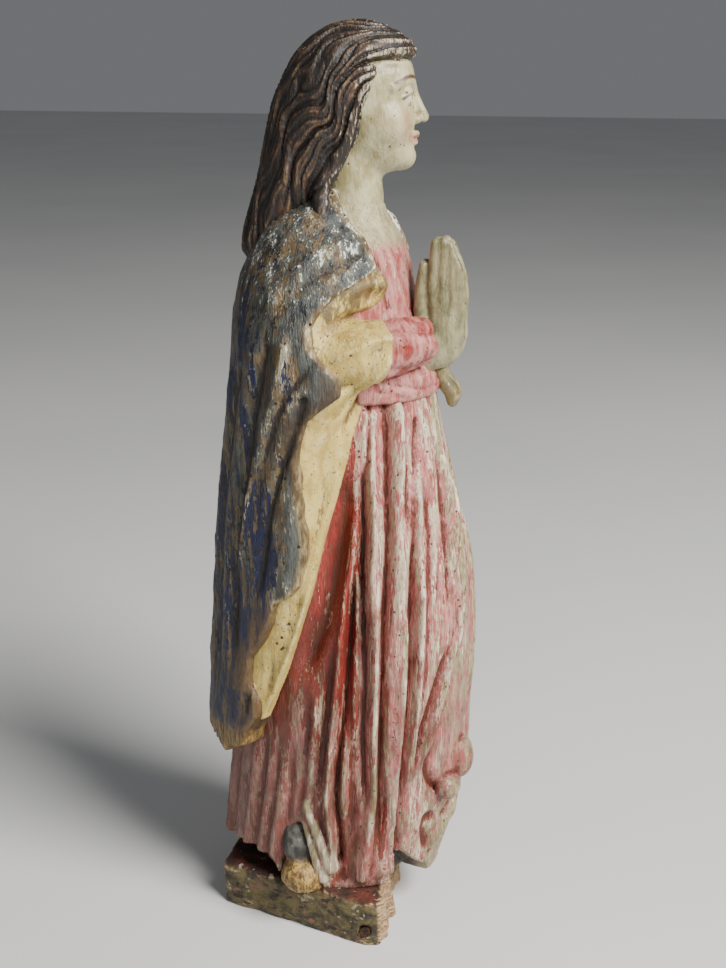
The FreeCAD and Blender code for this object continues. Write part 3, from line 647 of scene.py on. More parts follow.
def lining_field(robe, cloak, marks_map, side):
    """The cloth inside the cloak, from the robe at its front edge to the cloak's edge, and over the elbow."""
    sleeve = sleeve_shape(side)

    def at(x, y, z):
        bearing, reach = cloak.place(x, y, z)
        turn = side * bearing
        front = at_level(LINING_EDGE, z)
        back = at_level(CLOAK_EDGE, z)
        share = soft_step(0.0, 1.0, (turn - front) / np.maximum(back - front + 4, 5))
        heights = z + 0 * bearing
        robe_reach = robe.look_up(robe.plain, bearing, heights) + 2.6
        cloak_reach = cloak.look_up(cloak.plain, bearing, heights) - 3.0
        face = robe_reach + (cloak_reach - robe_reach) * share
        marks = cloak.look_up(marks_map, turn, heights)
        over_elbow = sleeve(x, y, z) - 1.8 - 0.8 * np.maximum(marks, -1.0)
        body = join((reach - face - marks) * 0.9, over_elbow, 3.0)
        body = meet(body, arc(front - turn, reach), 1.0)
        body = np.maximum(body, arc(turn - back - LINING_LAP, reach))
        body = meet(body, LINING_LOW - z, 1.0)
        inner = robe_reach - 4.5
        return np.maximum(np.maximum(body, inner - reach), z - LINING_HIGH)
    return at


def make_cloak(robe):
    """The cloak in one mesh for its three boards, and a lining for each of its front edges."""
    wall = cloak_wall()

    def from_edge(x, y, z):
        bearing, reach = wall.place(x, y, z)
        return arc(np.abs(bearing) - at_level(CLOAK_EDGE, z), reach)

    cloak = mesh_piece(
        "cloak", ("cloak_back", "right_cloak_side", "left_cloak_side"), ((-52, -38, 58), (52, 57, 266)),
        cloak_field(robe, wall), step=0.95, chips=0.2,
        masks={"bearing": lambda x, y, z: wall.place(x, y, z)[0], "edge": from_edge},
    )
    marks = Wall(CLOAK_ROWS)
    for height, width, path in LINING_MARKS:
        marks.groove(height, width, path)
    marks.grain(0.15, 2.0, 6.0, 31)
    marks_map = marks.r - marks.plain
    linings = []
    for side, word in ((1, "right"), (-1, "left")):
        linings.append(mesh_piece(
            f"{word}_lining", f"{word}_lining", side_box(side, 3, 50, (-36, 78), (40, 247)),
            lining_field(robe, wall, marks_map, side), step=0.7, chips=0.08,
        ))
    return cloak, *linings


# --- sash, sleeves and hands --------------------------------------------------------------------------

SASH_FOLDS = [
    (-0.6, 0.8, [(-70, 204.5), (-30, 203), (-5, 202), (14, 203.5), (26, 206)]),
    (-0.7, 0.8, [(6, 200), (24, 200.5), (44, 203), (60, 206)]),
    (0.6, 1.4, [(18, 203.5), (36, 205.5), (50, 207)]),
    (-0.6, 0.7, [(36, 197.5), (48, 200), (62, 202), (74, 202)]),
    (0.5, 1.2, [(-60, 202), (-35, 201.5), (-10, 203)]),
]
# Middle line of the right sleeve from elbow to wrist, and its radius along it.
SLEEVE_PATH = [(-33, 2, 212), (-30.5, -12, 215), (-22, -23.0, 216.5), (-11.5, -28.8, 217)]
SLEEVE_SIZE = [8.4, 9.0, 8.9, 7.8]
# Long folds: height, width and start in degrees round the sleeve, and degrees turned in each millimetre.
SLEEVE_FOLDS = [
    (0.7, 18, 78, -0.7), (-0.8, 9, 48, -0.9), (0.4, 16, 18, -0.8), (-0.8, 9, -32, -0.6), (0.6, 15, -58, -0.5),
]
# Folds across it: height, place along it, and how far they lean.
SLEEVE_RINGS = [(-0.5, 6, 2.0), (0.3, 9.5, 2.4), (-0.3, 19, -2.0)]


def make_sash():
    """The folded band round the front of the waist."""
    band = Wall(ROBE_ROWS)
    middle = (SASH_LOW + SASH_HIGH) / 2
    band.r += 2.6 * np.clip(1 - ((band.z - middle) / 7.5) ** 2, 0, 1)
    for height, width, path in SASH_FOLDS:
        band.groove(height, width, path)
    band.grain(0.15, 3.0, 2.0, 41)

    def at(x, y, z):
        bearing, reach = band.place(x, y, z)
        body = band.field(x, y, z) * 0.9
        body = meet(body, np.maximum(z - SASH_HIGH, SASH_LOW - z), 1.4)
        body = meet(body, arc(np.abs(bearing) - SASH_END, reach), 1.5)
        return np.maximum(body, -band.field(x, y, z, band.plain, -3.0))

    return mesh_piece("sash", "sash", ((-30, -37, 194), (30, 0, 210)), at, step=0.55, chips=0.06)


def make_sash_tie():
    """The knot of the sash, with its loop hanging in front like a leaf."""
    leaf = through([(0.5, -32.5, 204), (2.5, -35.0, 200), (5.5, -36.8, 196), (6.0, -36.6, 192)], 5)
    sizes = [1.9 + 1.5 * math.sin(math.pi * k / (len(leaf) - 1)) for k in range(len(leaf))]

    def at(x, y, z):
        p = (x, y, z)
        knot = egg(p, (1.5, -33.2, 204.3), (3.6, 3.2, 3.0))
        loop = stick(p, leaf, sizes)
        loop = cut(loop, stick(p, leaf[3:-3] + np.array([-2.2, -2.2, 0.6]), 0.9), 0.5)
        return join(knot, loop, 1.0)

    return mesh_piece("sash_tie", "sash_tie", ((-5, -43, 186), (13, -28, 210)), at, step=0.4, chips=0.06)


def sleeve_shape(side):
    """Field of a forearm's sleeve before its folds are cut."""
    fine = through([(side * x, y, z) for x, y, z in SLEEVE_PATH], 6)
    sizes = np.interp(np.linspace(0, 1, len(fine)), np.linspace(0, 1, len(SLEEVE_SIZE)), SLEEVE_SIZE)
    return lambda x, y, z: stick((x, y, z), fine, sizes)


def make_sleeve(side, word):
    """A forearm's sleeve: long soft folds, a few that run across it, and an open cuff at the wrist."""
    shape = sleeve_shape(side)
    elbow, wrist = (np.array([side * x, y, z]) for x, y, z in (SLEEVE_PATH[1], SLEEVE_PATH[-1]))
    way = (wrist - elbow) / np.linalg.norm(wrist - elbow)
    outward = np.cross(way, (0, 0, 1)) * side

    def at(x, y, z):
        p = (x, y, z)
        along = sum((p[i] - elbow[i]) * way[i] for i in range(3))
        out = sum((p[i] - elbow[i]) * outward[i] for i in range(3))
        turn = np.degrees(np.arctan2(z - 216.5, out))
        body = np.maximum(shape(x, y, z), -along - 3)
        for height, width, start, slope in SLEEVE_FOLDS:
            body = body - height * np.exp(-(((turn - start - slope * along) / width) ** 2))
        for height, place, lean in SLEEVE_RINGS:
            body = body - height * np.exp(-(((along - place - lean * turn / 45) / 1.7) ** 2))
        to_wrist = along - sum((wrist - elbow) * way)
        body = meet(body, to_wrist - 2.0 + 0.5 * np.sin(np.radians(3 * turn)), 1.2)
        hollow = stick(p, [tuple(wrist - 3 * way), tuple(wrist + 9 * way)], [5.3, 6.4])
        body = cut(body, np.maximum(hollow, -to_wrist - 2), 0.8)
        return np.maximum(body + 0.25 * rough_noise(x, y, z, (5, 5, 4), 51 + side), side * x + 0.4)

    # The paint lays painted shade on the sleeve's lower side, as on the robe's side under the cloak, by
    # giving it the bearings of that side.
    masks = {"bearing": lambda x, y, z: 52 - 1.9 * (z - 216)}
    box = side_box(side, 0, 50, (-43, 200), (12, 230))
    return mesh_piece(f"{word}_sleeve", f"{word}_sleeve", box, at, step=0.6, chips=0.05, masks=masks)


# Each finger's middle line as (y, z) points, and its thickness.
FINGERS = [
    ([(-31.8, 220), (-31.0, 236), (-31.6, 247.8)], 2.15),
    ([(-34.9, 219), (-34.5, 236), (-34.4, 248.4)], 2.2),
    ([(-37.9, 218), (-37.9, 234), (-37.2, 247.4)], 2.1),
    ([(-40.0, 217), (-40.6, 230), (-39.6, 243.0)], 1.85),
]


def make_hand(side, word):
    """One of the two hands laid palm to palm, fingers up."""
    def at(x, y, z):
        p = (-side * x, y, z)
        body = egg(p, (2.6, -35, 217), (3.7, 6.8, 10.5))  # back of the hand
        body = join(body, egg(p, (3.4, -31, 211), (4.3, 5.4, 5.6)), 3.0)  # heel
        body = join(body, stick(p, [(4, -27.0, 207), (3.5, -31, 214)], [4.2, 4.0]), 2.5)  # wrist
        for line, size in FINGERS:
            joints = [(2.3, b, c) for b, c in line]
            finger = stick(p, joints, [size + 0.15, size, size - 0.35])
            body = join(body, finger, 1.2)
        thumb = [(3.4, -29.0, 213), (3.0, -26.6, 226), (2.4, -26.6, 233), (2.0, -27.6, 240.5)]
        body = join(body, stick(p, thumb, [3.0, 2.2, 2.0, 1.6]), 1.2)
        body = join(body, egg(p, (1.6, -31.5, 228), (2.3, 5.5, 15)), 1.0)  # between thumb and fingers
        fingertips = 0.41 * (z - 248.4) - 0.91 * (y + 37.2)
        body = meet(body, fingertips, 1.2)
        wear = 0.16 * rough_noise(x, y, z, (1.6, 1.6, 7), 61 + side)
        return np.maximum(body + wear, 0.15 - p[0])

    box = side_box(side, 0, 9, (-45, 200), (-21, 252))
    masks = {"tip": lambda x, y, z: soft_step(228, 250, z) * soft_step(-36, -43, y)}
    return mesh_piece(f"{word}_hand", f"{word}_hand", box, at, step=0.4, chips=0.03, masks=masks)


# --- head and hair ------------------------------------------------------------------------------------

HEAD_TURN = math.radians(14)
HEAD_AXIS_Y = -3.0
EYE = (6.4, -18.4, 295.2)       # middle of the ball of an eye, right and left alike
EYE_SIZE = (3.7, 3.7, 3.3)
# How far forward the hair comes beside the face, against height, and the height of its arch over the brow.
HAIRLINE = [
    (255, 7.5), (264, 6.6), (270.5, 5.2), (274.5, 2.0), (284, -2.2), (293, -3.6), (298, -6.8), (305, -8.4),
    (312, -10),
]
HAIR_ARCH = 307.4
# The locks run between these two lines: the hair's front edge, and its middle from the parting down the back.
FRONT_LINE = [
    (1, -27, 303), (9, -24, 303), (15, -18, 302), (17, -14, 294), (17, -11, 284), (18, -6, 275),
    (19, -1, 267), (20, 2, 256), (20, 5, 243),
]
BACK_LINE = [
    (0, -7, 320), (0, 3, 319), (0, 11, 315), (0, 18, 306), (0, 22.5, 296), (0, 26.5, 282), (0, 30, 268),
    (0, 33, 256), (0, 35, 242),
]
LOCKS = 6.5              # locks between the two lines
LOCK_DEPTH = 0.85
# The lock that hangs beside the face.
FRONT_LOCK = [
    (-15.0, -11.5, 303), (-17.0, -7.5, 294), (-17.8, -5.5, 284), (-18.6, -1.0, 275), (-20.0, 2.5, 267),
    (-22, 2, 258),
]


def face_on(x, y, z):
    """Turns points into the head's own frame, in which the face looks along -Y."""
    c, s = math.cos(HEAD_TURN), math.sin(HEAD_TURN)
    forward = y - HEAD_AXIS_Y
    return c * x + s * forward, -s * x + c * forward + HEAD_AXIS_Y, z + 0 * x


def head_field(x, y, z):
    """A calm, plain face in even proportions."""
    hx, hy, hz = face_on(x, y, z)
    p = (np.abs(hx), hy, hz)
    body = egg(p, (0, -1, 299), (16.2, 20.2, 17.5))  # skull
    body = join(body, egg(p, (0, -9, 289), (13.4, 14.3, 18.0)), 4.0)  # face
    body = join(body, egg(p, (0, -9.5, 302), (13.8, 12.9, 10.5)), 4.0)  # forehead
    body = join(body, egg(p, (0, -13.5, 277), (7.6, 8.6, 5.8)), 5.0)  # jaw
    body = join(body, stick(p, [(0, -2.5, 262), (0, -2.0, 278)], [10.4, 9.4]), 3.0)  # neck
    body = join(body, egg(p, (0, -1.5, 250), (15.0, 13.0, 8.5)), 5.0)  # foot of the neck
    body = join(body, egg(p, (8.3, -14.5, 287), (5.6, 6.0, 6.5)), 3.0)  # cheeks
    body = join(body, egg(p, (0, -19.6, 275.4), (4.6, 4.0, 3.8)), 2.5)  # chin
    body = cut(body, egg(p, (6.6, -24.0, 295.4), (5.0, 3.4, 3.0)), 2.2)  # eye sockets
    brow = through([(1.6, -22.0, 298.5), (5.5, -21.8, 300.6), (9.5, -19.2, 300.2), (12.2, -15.6, 298.0)], 5)
    body = join(body, stick(p, brow, 1.1), 1.8)
    nose = [(0, -21.4, 299.5), (0, -23.6, 294), (0, -25.9, 288.6)]
    body = join(body, stick(p, nose, [1.3, 1.4, 1.9]), 1.6)
    body = join(body, egg(p, (2.1, -23.6, 287.8), (1.5, 1.9, 1.5)), 0.8)  # wings of the nose
    body = cut(body, egg(p, (1.4, -24.6, 286.2), (0.6, 0.8, 0.6)), 0.5)  # nostrils
    body = join(body, egg(p, EYE, EYE_SIZE), 0.6)
    upper_lid = through([
        (3.0, -20.9, 295.0), (4.8, -21.9, 296.3), (7.0, -21.8, 296.6), (9.0, -20.3, 295.8),
        (10.0, -18.9, 294.8),
    ], 5)
    body = join(body, stick(p, upper_lid, 0.6), 0.5)
    body = join(body, egg(p, (6.6, -18.9, 297.0), (3.6, 3.2, 1.8)), 0.6)  # the lid above it
    lower_lid = [(3.2, -20.8, 294.7), (5.2, -21.7, 293.4), (7.2, -21.4, 293.1), (9.3, -19.6, 294.1)]
    lower_lid = through(lower_lid, 5)
    body = join(body, stick(p, lower_lid, 0.42), 0.5)
    upper_lip = through([(0, -23.7, 282.9), (1.5, -23.7, 283.3), (3.2, -22.5, 282.6), (4.6, -20.9, 281.9)], 5)
    body = join(body, stick(p, upper_lip, np.linspace(1.0, 0.5, len(upper_lip))), 0.8)
    lower_lip = through([(0, -23.2, 280.5), (1.8, -23.0, 280.4), (3.5, -21.7, 281.2), (4.5, -20.8, 281.8)], 5)
    body = join(body, stick(p, lower_lip, np.linspace(1.15, 0.5, len(lower_lip))), 0.8)
    mouth = [(0, -25.2, 281.8), (2.5, -24.2, 281.8), (4.8, -21.6, 281.9)]
    body = cut(body, stick(p, mouth, [0.5, 0.5, 0.3]), 0.5)
    body = cut(body, stick(p, [(0, -25.3, 286.4), (0, -25.2, 284.2)], [0.5, 0.6]), 0.8)  # under the nose
    body = cut(body, egg(p, (0, -24.6, 278.4), (3.2, 1.2, 0.9)), 1.0)  # under the lip
    wear = 0.10 * rough_noise(x, y, z, (4, 4, 4), 71)
    return np.maximum(body + wear, 254 - z)


def near_line(points, size):
    """A paint mask that is 1 on a line drawn on the face and falls to 0 at its edge."""
    fine = through(points, 6)

    def mask(x, y, z):
        hx, hy, hz = face_on(x, y, z)
        return soft_step(0.35, -0.25, stick((np.abs(hx), hy, hz), fine, size))
    return mask


def make_head():
    """The head with its neck, and the masks by which the face is painted."""
    def eye(x, y, z):
        hx, hy, hz = face_on(x, y, z)
        return soft_step(0.35, 0.05, egg((np.abs(hx), hy, hz), EYE, EYE_SIZE))

    def iris(x, y, z):
        hx, hy, hz = face_on(x, y, z)
        away = np.hypot(np.abs(hx) - EYE[0], hz - EYE[2] - 0.1)
        return soft_step(1.5, 1.15, away) * soft_step(-19, -20, hy)

    def cheek(x, y, z):
        hx, hy, hz = face_on(x, y, z)
        return np.exp(-((np.abs(hx) - 9.5) ** 2 + (hz - 286.5) ** 2) / 26) * soft_step(-8, -14, hy)

    lips = [(0, -23.8, 282.0), (2.0, -23.4, 282.2), (4.3, -21.2, 281.9)]
    brow = [(3.0, -22.9, 300.0), (6.0, -22.4, 301.5), (9.5, -19.9, 301.2), (12.4, -16.2, 299.4)]
    lash = [
        (3.0, -21.3, 295.1), (4.8, -22.3, 296.3), (7.0, -22.2, 296.6), (9.0, -20.7, 295.8),
        (10.2, -19.2, 294.8),
    ]
    masks = {
        "eye": eye, "iris": iris, "cheek": cheek,
        "lips": near_line(lips, 1.5), "brow": near_line(brow, 0.75), "lash": near_line(lash, 0.45),
    }
    return mesh_piece(
        "head", "head", ((-20, -32, 252), (20, 20, 320)), head_field, step=0.45, chips=0.03, masks=masks,
    )


def strands(x, y, z):
    """Height of the carved locks: they spread from the parting and fall, waving, to the shoulders."""
    p = (np.abs(x), y, z)
    front, back = through(FRONT_LINE, 3), through(BACK_LINE, 3)
    from_front = np.maximum(stick(p, front, 0.0), 0)
    from_back = np.maximum(stick(p, back, 0.0), 0)
    share = from_front / (from_front + from_back + 0.5)
    along = 0.6 * y - 0.8 * z
    side = np.where(x < 0, 0.0, 37.0)
    wave = 0.022 * np.sin(along / 4.6 + share * 5 + side)
    ripple = 0.010 * np.sin(along / 2.1 + share * 17 + side)
    share = share + wave + ripple
    drift = 0.07 * noise(share * 5, along / 20, side, 81)
    wander = 0.035 * noise(share * 12, along / 9, side, 82)
    share = share + drift + wander
    turn = math.pi * share * LOCKS
    locks = np.sqrt(np.abs(np.sin(turn))) - 0.75
    fine = np.sqrt(np.abs(np.sin(turn * 2.3 + 1.3 * np.sin(along / 11 + share * 9)))) - 0.75
    finer = np.abs(np.sin(turn * 6.3 + np.sin(along / 9))) - 0.6
    uneven = 1.0 + 0.5 * noise(share * 9, along / 14, side, 83)
    return 1.8 * locks + 1.2 * fine * uneven + 0.35 * finer


def make_hair():
    """The hair as one mass, opened round the face and carved into locks."""
    wall = Wall(HAIR_ROWS)

    def at(x, y, z):
        p = (x, y, z)
        mass = wall.field(x, y, z) * 0.8
        cap = z - 319.2 + 0.012 * (y + 7) ** 2 + 0.02 * x**2
        mass = meet(mass, cap * 0.8, 3.0)
        hx, hy, hz = face_on(x, y, z)
        line = at_level(HAIRLINE, hz) + 0.5 * np.sin(hz / 3.4) + 0.5 * np.sin(hz / 1.9)
        arch = HAIR_ARCH + 0.4 * np.sin(hx / 1.7)
        opening = meet(hy - line, (hz - arch) * 0.9, 2.4)
        mass = cut(mass, opening, 1.0)
        for side in (-1, 1):
            lock = through([(-side * a, b, c) for a, b, c in FRONT_LOCK], 5)
            mass = join(mass, stick(p, lock, np.linspace(2.4, 3.0, len(lock))), 2.0)
        carved = strands(x, y, z)
        body = mass - carved * LOCK_DEPTH
        edge = 242.5 + 9.0 * soft_step(24, 4, y) + 1.6 * carved
        return meet(body, edge - z, 1.5)

    def front(x, y, z):
        _, hy, hz = face_on(x, y, z)
        line = at_level(HAIRLINE, hz)
        beside_face = soft_step(7, 1.5, hy - line) * soft_step(252, 262, z)
        return np.maximum(beside_face, 0.5 * soft_step(-8, -16, hy))

    return mesh_piece(
        "hair", "hair", ((-26, -28, 239), (26, 39, 322)), at, step=0.48, chips=0.08, masks={"front": front},
    )


# --- shoe and plinth ----------------------------------------------------------------------------------

PLINTH_OUTLINE = [(-24, 42.5), (-40, -18), (-26, -45)]     # right half, from the back
BREAK_Y = -23.0          # where the split comes out at the right corner
BREAK_SLANT = 0.13       # how much further back it comes out for each millimetre towards the left
# Chips knocked out of the plinth's edges: their middles and sizes.
EDGE_CHIPS = [
    (-35, 6, 17, 2.6), (-32, 20, 17.5, 2.2), (-39, -10, 17.5, 2.4), (-30, 30, 0.5, 2.8), (-38, 2, 0, 2.2),
    (33, 10, 17.5, 2.6), (36, -8, 0, 2.6),
]


def make_shoe():
    """The shoe that shows under the hem: a rounded upper and a creased toe."""
    def at(x, y, z):
        p = (x, y, z)
        body = egg(p, (-29, 8.5, 21), (10.2, 8.4, 8.5))
        body = join(body, egg(p, (-26, 11, 33), (9.6, 6.8, 10.5)), 1.6)
        for offset in (-4.5, 1.5):
            crease = [(-38.8, 5.5 + offset, 20), (-39.2, 8.0 + offset, 22.5), (-37.5, 10.5 + offset, 25.5)]
            body = cut(body, stick(p, crease, [0.1, 0.2, 0.1]), 1.0)
        body = cut(body, stick(p, [(-37, 1, 28.5), (-37, 9, 29.5), (-34, 16, 28)], [0.6, 0.8, 0.6]), 1.2)
        wear = 0.35 * rough_noise(x, y, z, 4.0, 91)
        return np.maximum(body + wear, PLINTH_TOP - 0.3 - z)

    masks = {"toe": lambda x, y, z: soft_step(29.5, 27.0, z)}
    box = ((-41, -2, 15), (-10, 20, 46))
    return mesh_piece("right_shoe", "right_shoe", box, at, step=0.5, chips=0.08, masks=masks)


def break_line(x, z):
    """Where the front of the plinth has split off: a jagged face that leans and steps along the grain."""
    waves = 2.4 * noise(x / 9, 0 * z, z / 30, 101)
    steps = np.round(1.5 * noise(x / 4.5, 0 * z, z / 22, 102))
    return BREAK_Y + BREAK_SLANT * (x + 38) + waves + steps + 0.1 * (z - 8)


def make_plinth():
    """The low plinth with its front split away, chipped edges and the hole of the nail."""
    def at(x, y, z):
        body = y - PLINTH_OUTLINE[0][1] + 0 * x
        for (x0, y0), (x1, y1) in zip(PLINTH_OUTLINE, PLINTH_OUTLINE[1:]):
            length = math.hypot(x1 - x0, y1 - y0)
            normal = ((y1 - y0) / length, -(x1 - x0) / length)
            body = meet(body, (-np.abs(x) - x0) * normal[0] + (y - y0) * normal[1], 3.5)
        body = body + 0.55 * rough_noise(x, y, z, (9, 11, 5), 103)
        body = body + 0.25 * rough_noise(x, y, z, (2.0, 6.0, 1.6), 104)
        top = z - PLINTH_TOP + 0.28 * rough_noise(x, y, z, 8, 105)
        body = meet(body, top, 1.8)
        body = meet(body, 0.25 - z, 0.9)
        split = break_line(x, z) + 0.35 * noise(x / 1.3, 0 * z, z / 9, 106)
        body = meet(body, split - y, 0.5)
        for *middle, size in EDGE_CHIPS:
            body = cut(body, egg((x, y, z), middle, (size, size * 2.2, size)), 1.2)
        hole = stick((x, y, z), [(-44, -17.1, 5.5), (-36, -15.9, 5.5)], [2.3, 1.8])
        return cut(body, hole, 0.8)

    masks = {
        "split": lambda x, y, z: soft_step(1.6, 0.5, y - break_line(x, z)),
        "top": lambda x, y, z: soft_step(PLINTH_TOP - 1.6, PLINTH_TOP - 0.4, z),
    }
    box = ((-44, -30, -1.5), (44, 49, 19.5))
    return mesh_piece("plinth", "plinth", box, at, step=0.7, chips=0.06, masks=masks)


# --- paint --------------------------------------------------------------------------------------------


def colour(red, green, blue):
    """A colour given from 0 to 255, as the light values a shader wants."""
    return (*(((c / 255 + 0.055) / 1.055) ** 2.4 if c > 10 else c / 3294.6 for c in (red, green, blue)), 1.0)


class Paint:
    """A material being mixed: sizes are in millimetres, and each step gives a socket for the next."""

    def __init__(self, name):
        self.material = bpy.data.materials.new(name)
        self.material.use_nodes = True
        self.tree = self.material.node_tree
        self.surface = self.tree.nodes["Principled BSDF"]
        metres = self.node("ShaderNodeTexCoord").outputs["Object"]
        self.place = self.vectors("SCALE", {0: metres, "Scale": 1 / MM})
        self.height = self.node("ShaderNodeSeparateXYZ", {0: self.place}).outputs[2]
        self.tint = None

    def node(self, kind, inputs=None, **settings):
        made = self.tree.nodes.new(kind)
        for key, value in settings.items():
            setattr(made, key, value)
        for key, value in (inputs or {}).items():
            if isinstance(value, bpy.types.NodeSocket):
                self.tree.links.new(value, made.inputs[key])
            else:
                made.inputs[key].default_value = value
        return made

    def vectors(self, operation, inputs):
        return self.node("ShaderNodeVectorMath", inputs, operation=operation).outputs[0]

    def math(self, operation, a, b=0.0, c=0.0):
        return self.node("ShaderNodeMath", {0: a, 1: b, 2: c}, operation=operation).outputs[0]

    def total(self, *terms):
        """The sum of (socket, share) pairs."""
        value = 0.0
        for socket, share in terms:
            value = self.math("MULTIPLY_ADD", socket, share, value)
        return value

    def noise(self, size, seed, detail=3.0):
        """Noise about 0, mostly within -1 to 1, with features of this size along x, y and z."""
        scale = tuple(1 / s for s in size)
        where = self.vectors("MULTIPLY", {0: self.place, 1: scale})
        inputs = {"Vector": where, "W": seed * 7.3, "Detail": detail, "Scale": 1.0, "Roughness": 0.62}
        made = self.node("ShaderNodeTexNoise", inputs, noise_dimensions="4D")
        return self.math("MULTIPLY_ADD", made.outputs[0], 4.0, -2.0)

    def specks(self, size, share, seed):
        """1 in small round spots, one to a cell of this size, in this share of the cells."""
        where = self.vectors("ADD", {0: self.place, 1: (seed * 3.7,) * 3})
        cells = self.node("ShaderNodeTexVoronoi", {"Vector": where, "Scale": 1 / size})
        chance = self.node("ShaderNodeSeparateColor", {0: cells.outputs["Color"]}).outputs[0]
        spot = self.mask(cells.outputs["Distance"], 0.24, 0.16)
        return self.math("MULTIPLY", spot, self.mask(chance, share + 0.01, share - 0.01))

    def cracks(self, size, seed):
        """1 along the fine cracks of old paint, in plates of this size."""
        bend = self.node("ShaderNodeTexNoise", {"Vector": self.place, "Scale": 0.8 / size, "Detail": 2.0})
        bent = self.vectors("SCALE", {0: bend.outputs["Color"], "Scale": size * 1.2})
        inputs = {"Vector": self.vectors("ADD", {0: bent, 1: self.place}), "Scale": 1 / size}
        plates = self.node("ShaderNodeTexVoronoi", inputs, feature="DISTANCE_TO_EDGE")
        return self.mask(plates.outputs["Distance"], 0.045, 0.012)

    def layer(self, name):
        """A layer of numbers kept on the mesh."""
        return self.node("ShaderNodeAttribute", attribute_name=name).outputs["Fac"]

    def mask(self, value, low, high):
        """0 at the first level and 1 at the second, smooth between them."""
        inputs = {"Value": value, "From Min": low, "From Max": high}
        return self.node("ShaderNodeMapRange", inputs, interpolation_type="SMOOTHSTEP").outputs[0]

    def patches(self, low, high, *terms):
        """0 where the sum of the (socket, share) terms is at the first level, 1 where it is at the second."""
        return self.mask(self.total(*terms), low, high)

    def both(self, a, b):
        return self.math("MULTIPLY", a, b)

    def mix(self, share, a, b):
        """Paint b over a, as thick as share. Either is a socket or a colour given as for colour()."""
        made = self.node("ShaderNodeMix", data_type="RGBA")
        for index, value in ((0, share), (6, a), (7, b)):
            if isinstance(value, tuple):
                value = colour(*value)
            if isinstance(value, bpy.types.NodeSocket):
                self.tree.links.new(value, made.inputs[index])
            else:
                made.inputs[index].default_value = value
        return made.outputs[2]

    def coat(self, share, colour_over):
        """Paints a colour over what is there, as thick as share."""
        self.tint = self.mix(share, self.tint, colour_over)

    def shade(self, value, amount):
        """Lightens and darkens what is there by a value about 0."""
        light = self.math("MULTIPLY_ADD", value, amount, 1.0)
        self.tint = self.vectors("SCALE", {0: self.tint, "Scale": light})

    def finish(self, roughness, relief_mm):
        """Sets the colour, the roughness (a socket or a number) and the fine relief in millimetres."""
        self.tree.links.new(self.tint, self.surface.inputs["Base Color"])
        if isinstance(roughness, bpy.types.NodeSocket):
            self.tree.links.new(roughness, self.surface.inputs["Roughness"])
        else:
            self.surface.inputs["Roughness"].default_value = roughness
        bump = self.node("ShaderNodeBump", {"Height": relief_mm, "Distance": MM, "Strength": 1.0})
        self.tree.links.new(bump.outputs[0], self.surface.inputs["Normal"])
        return self.material


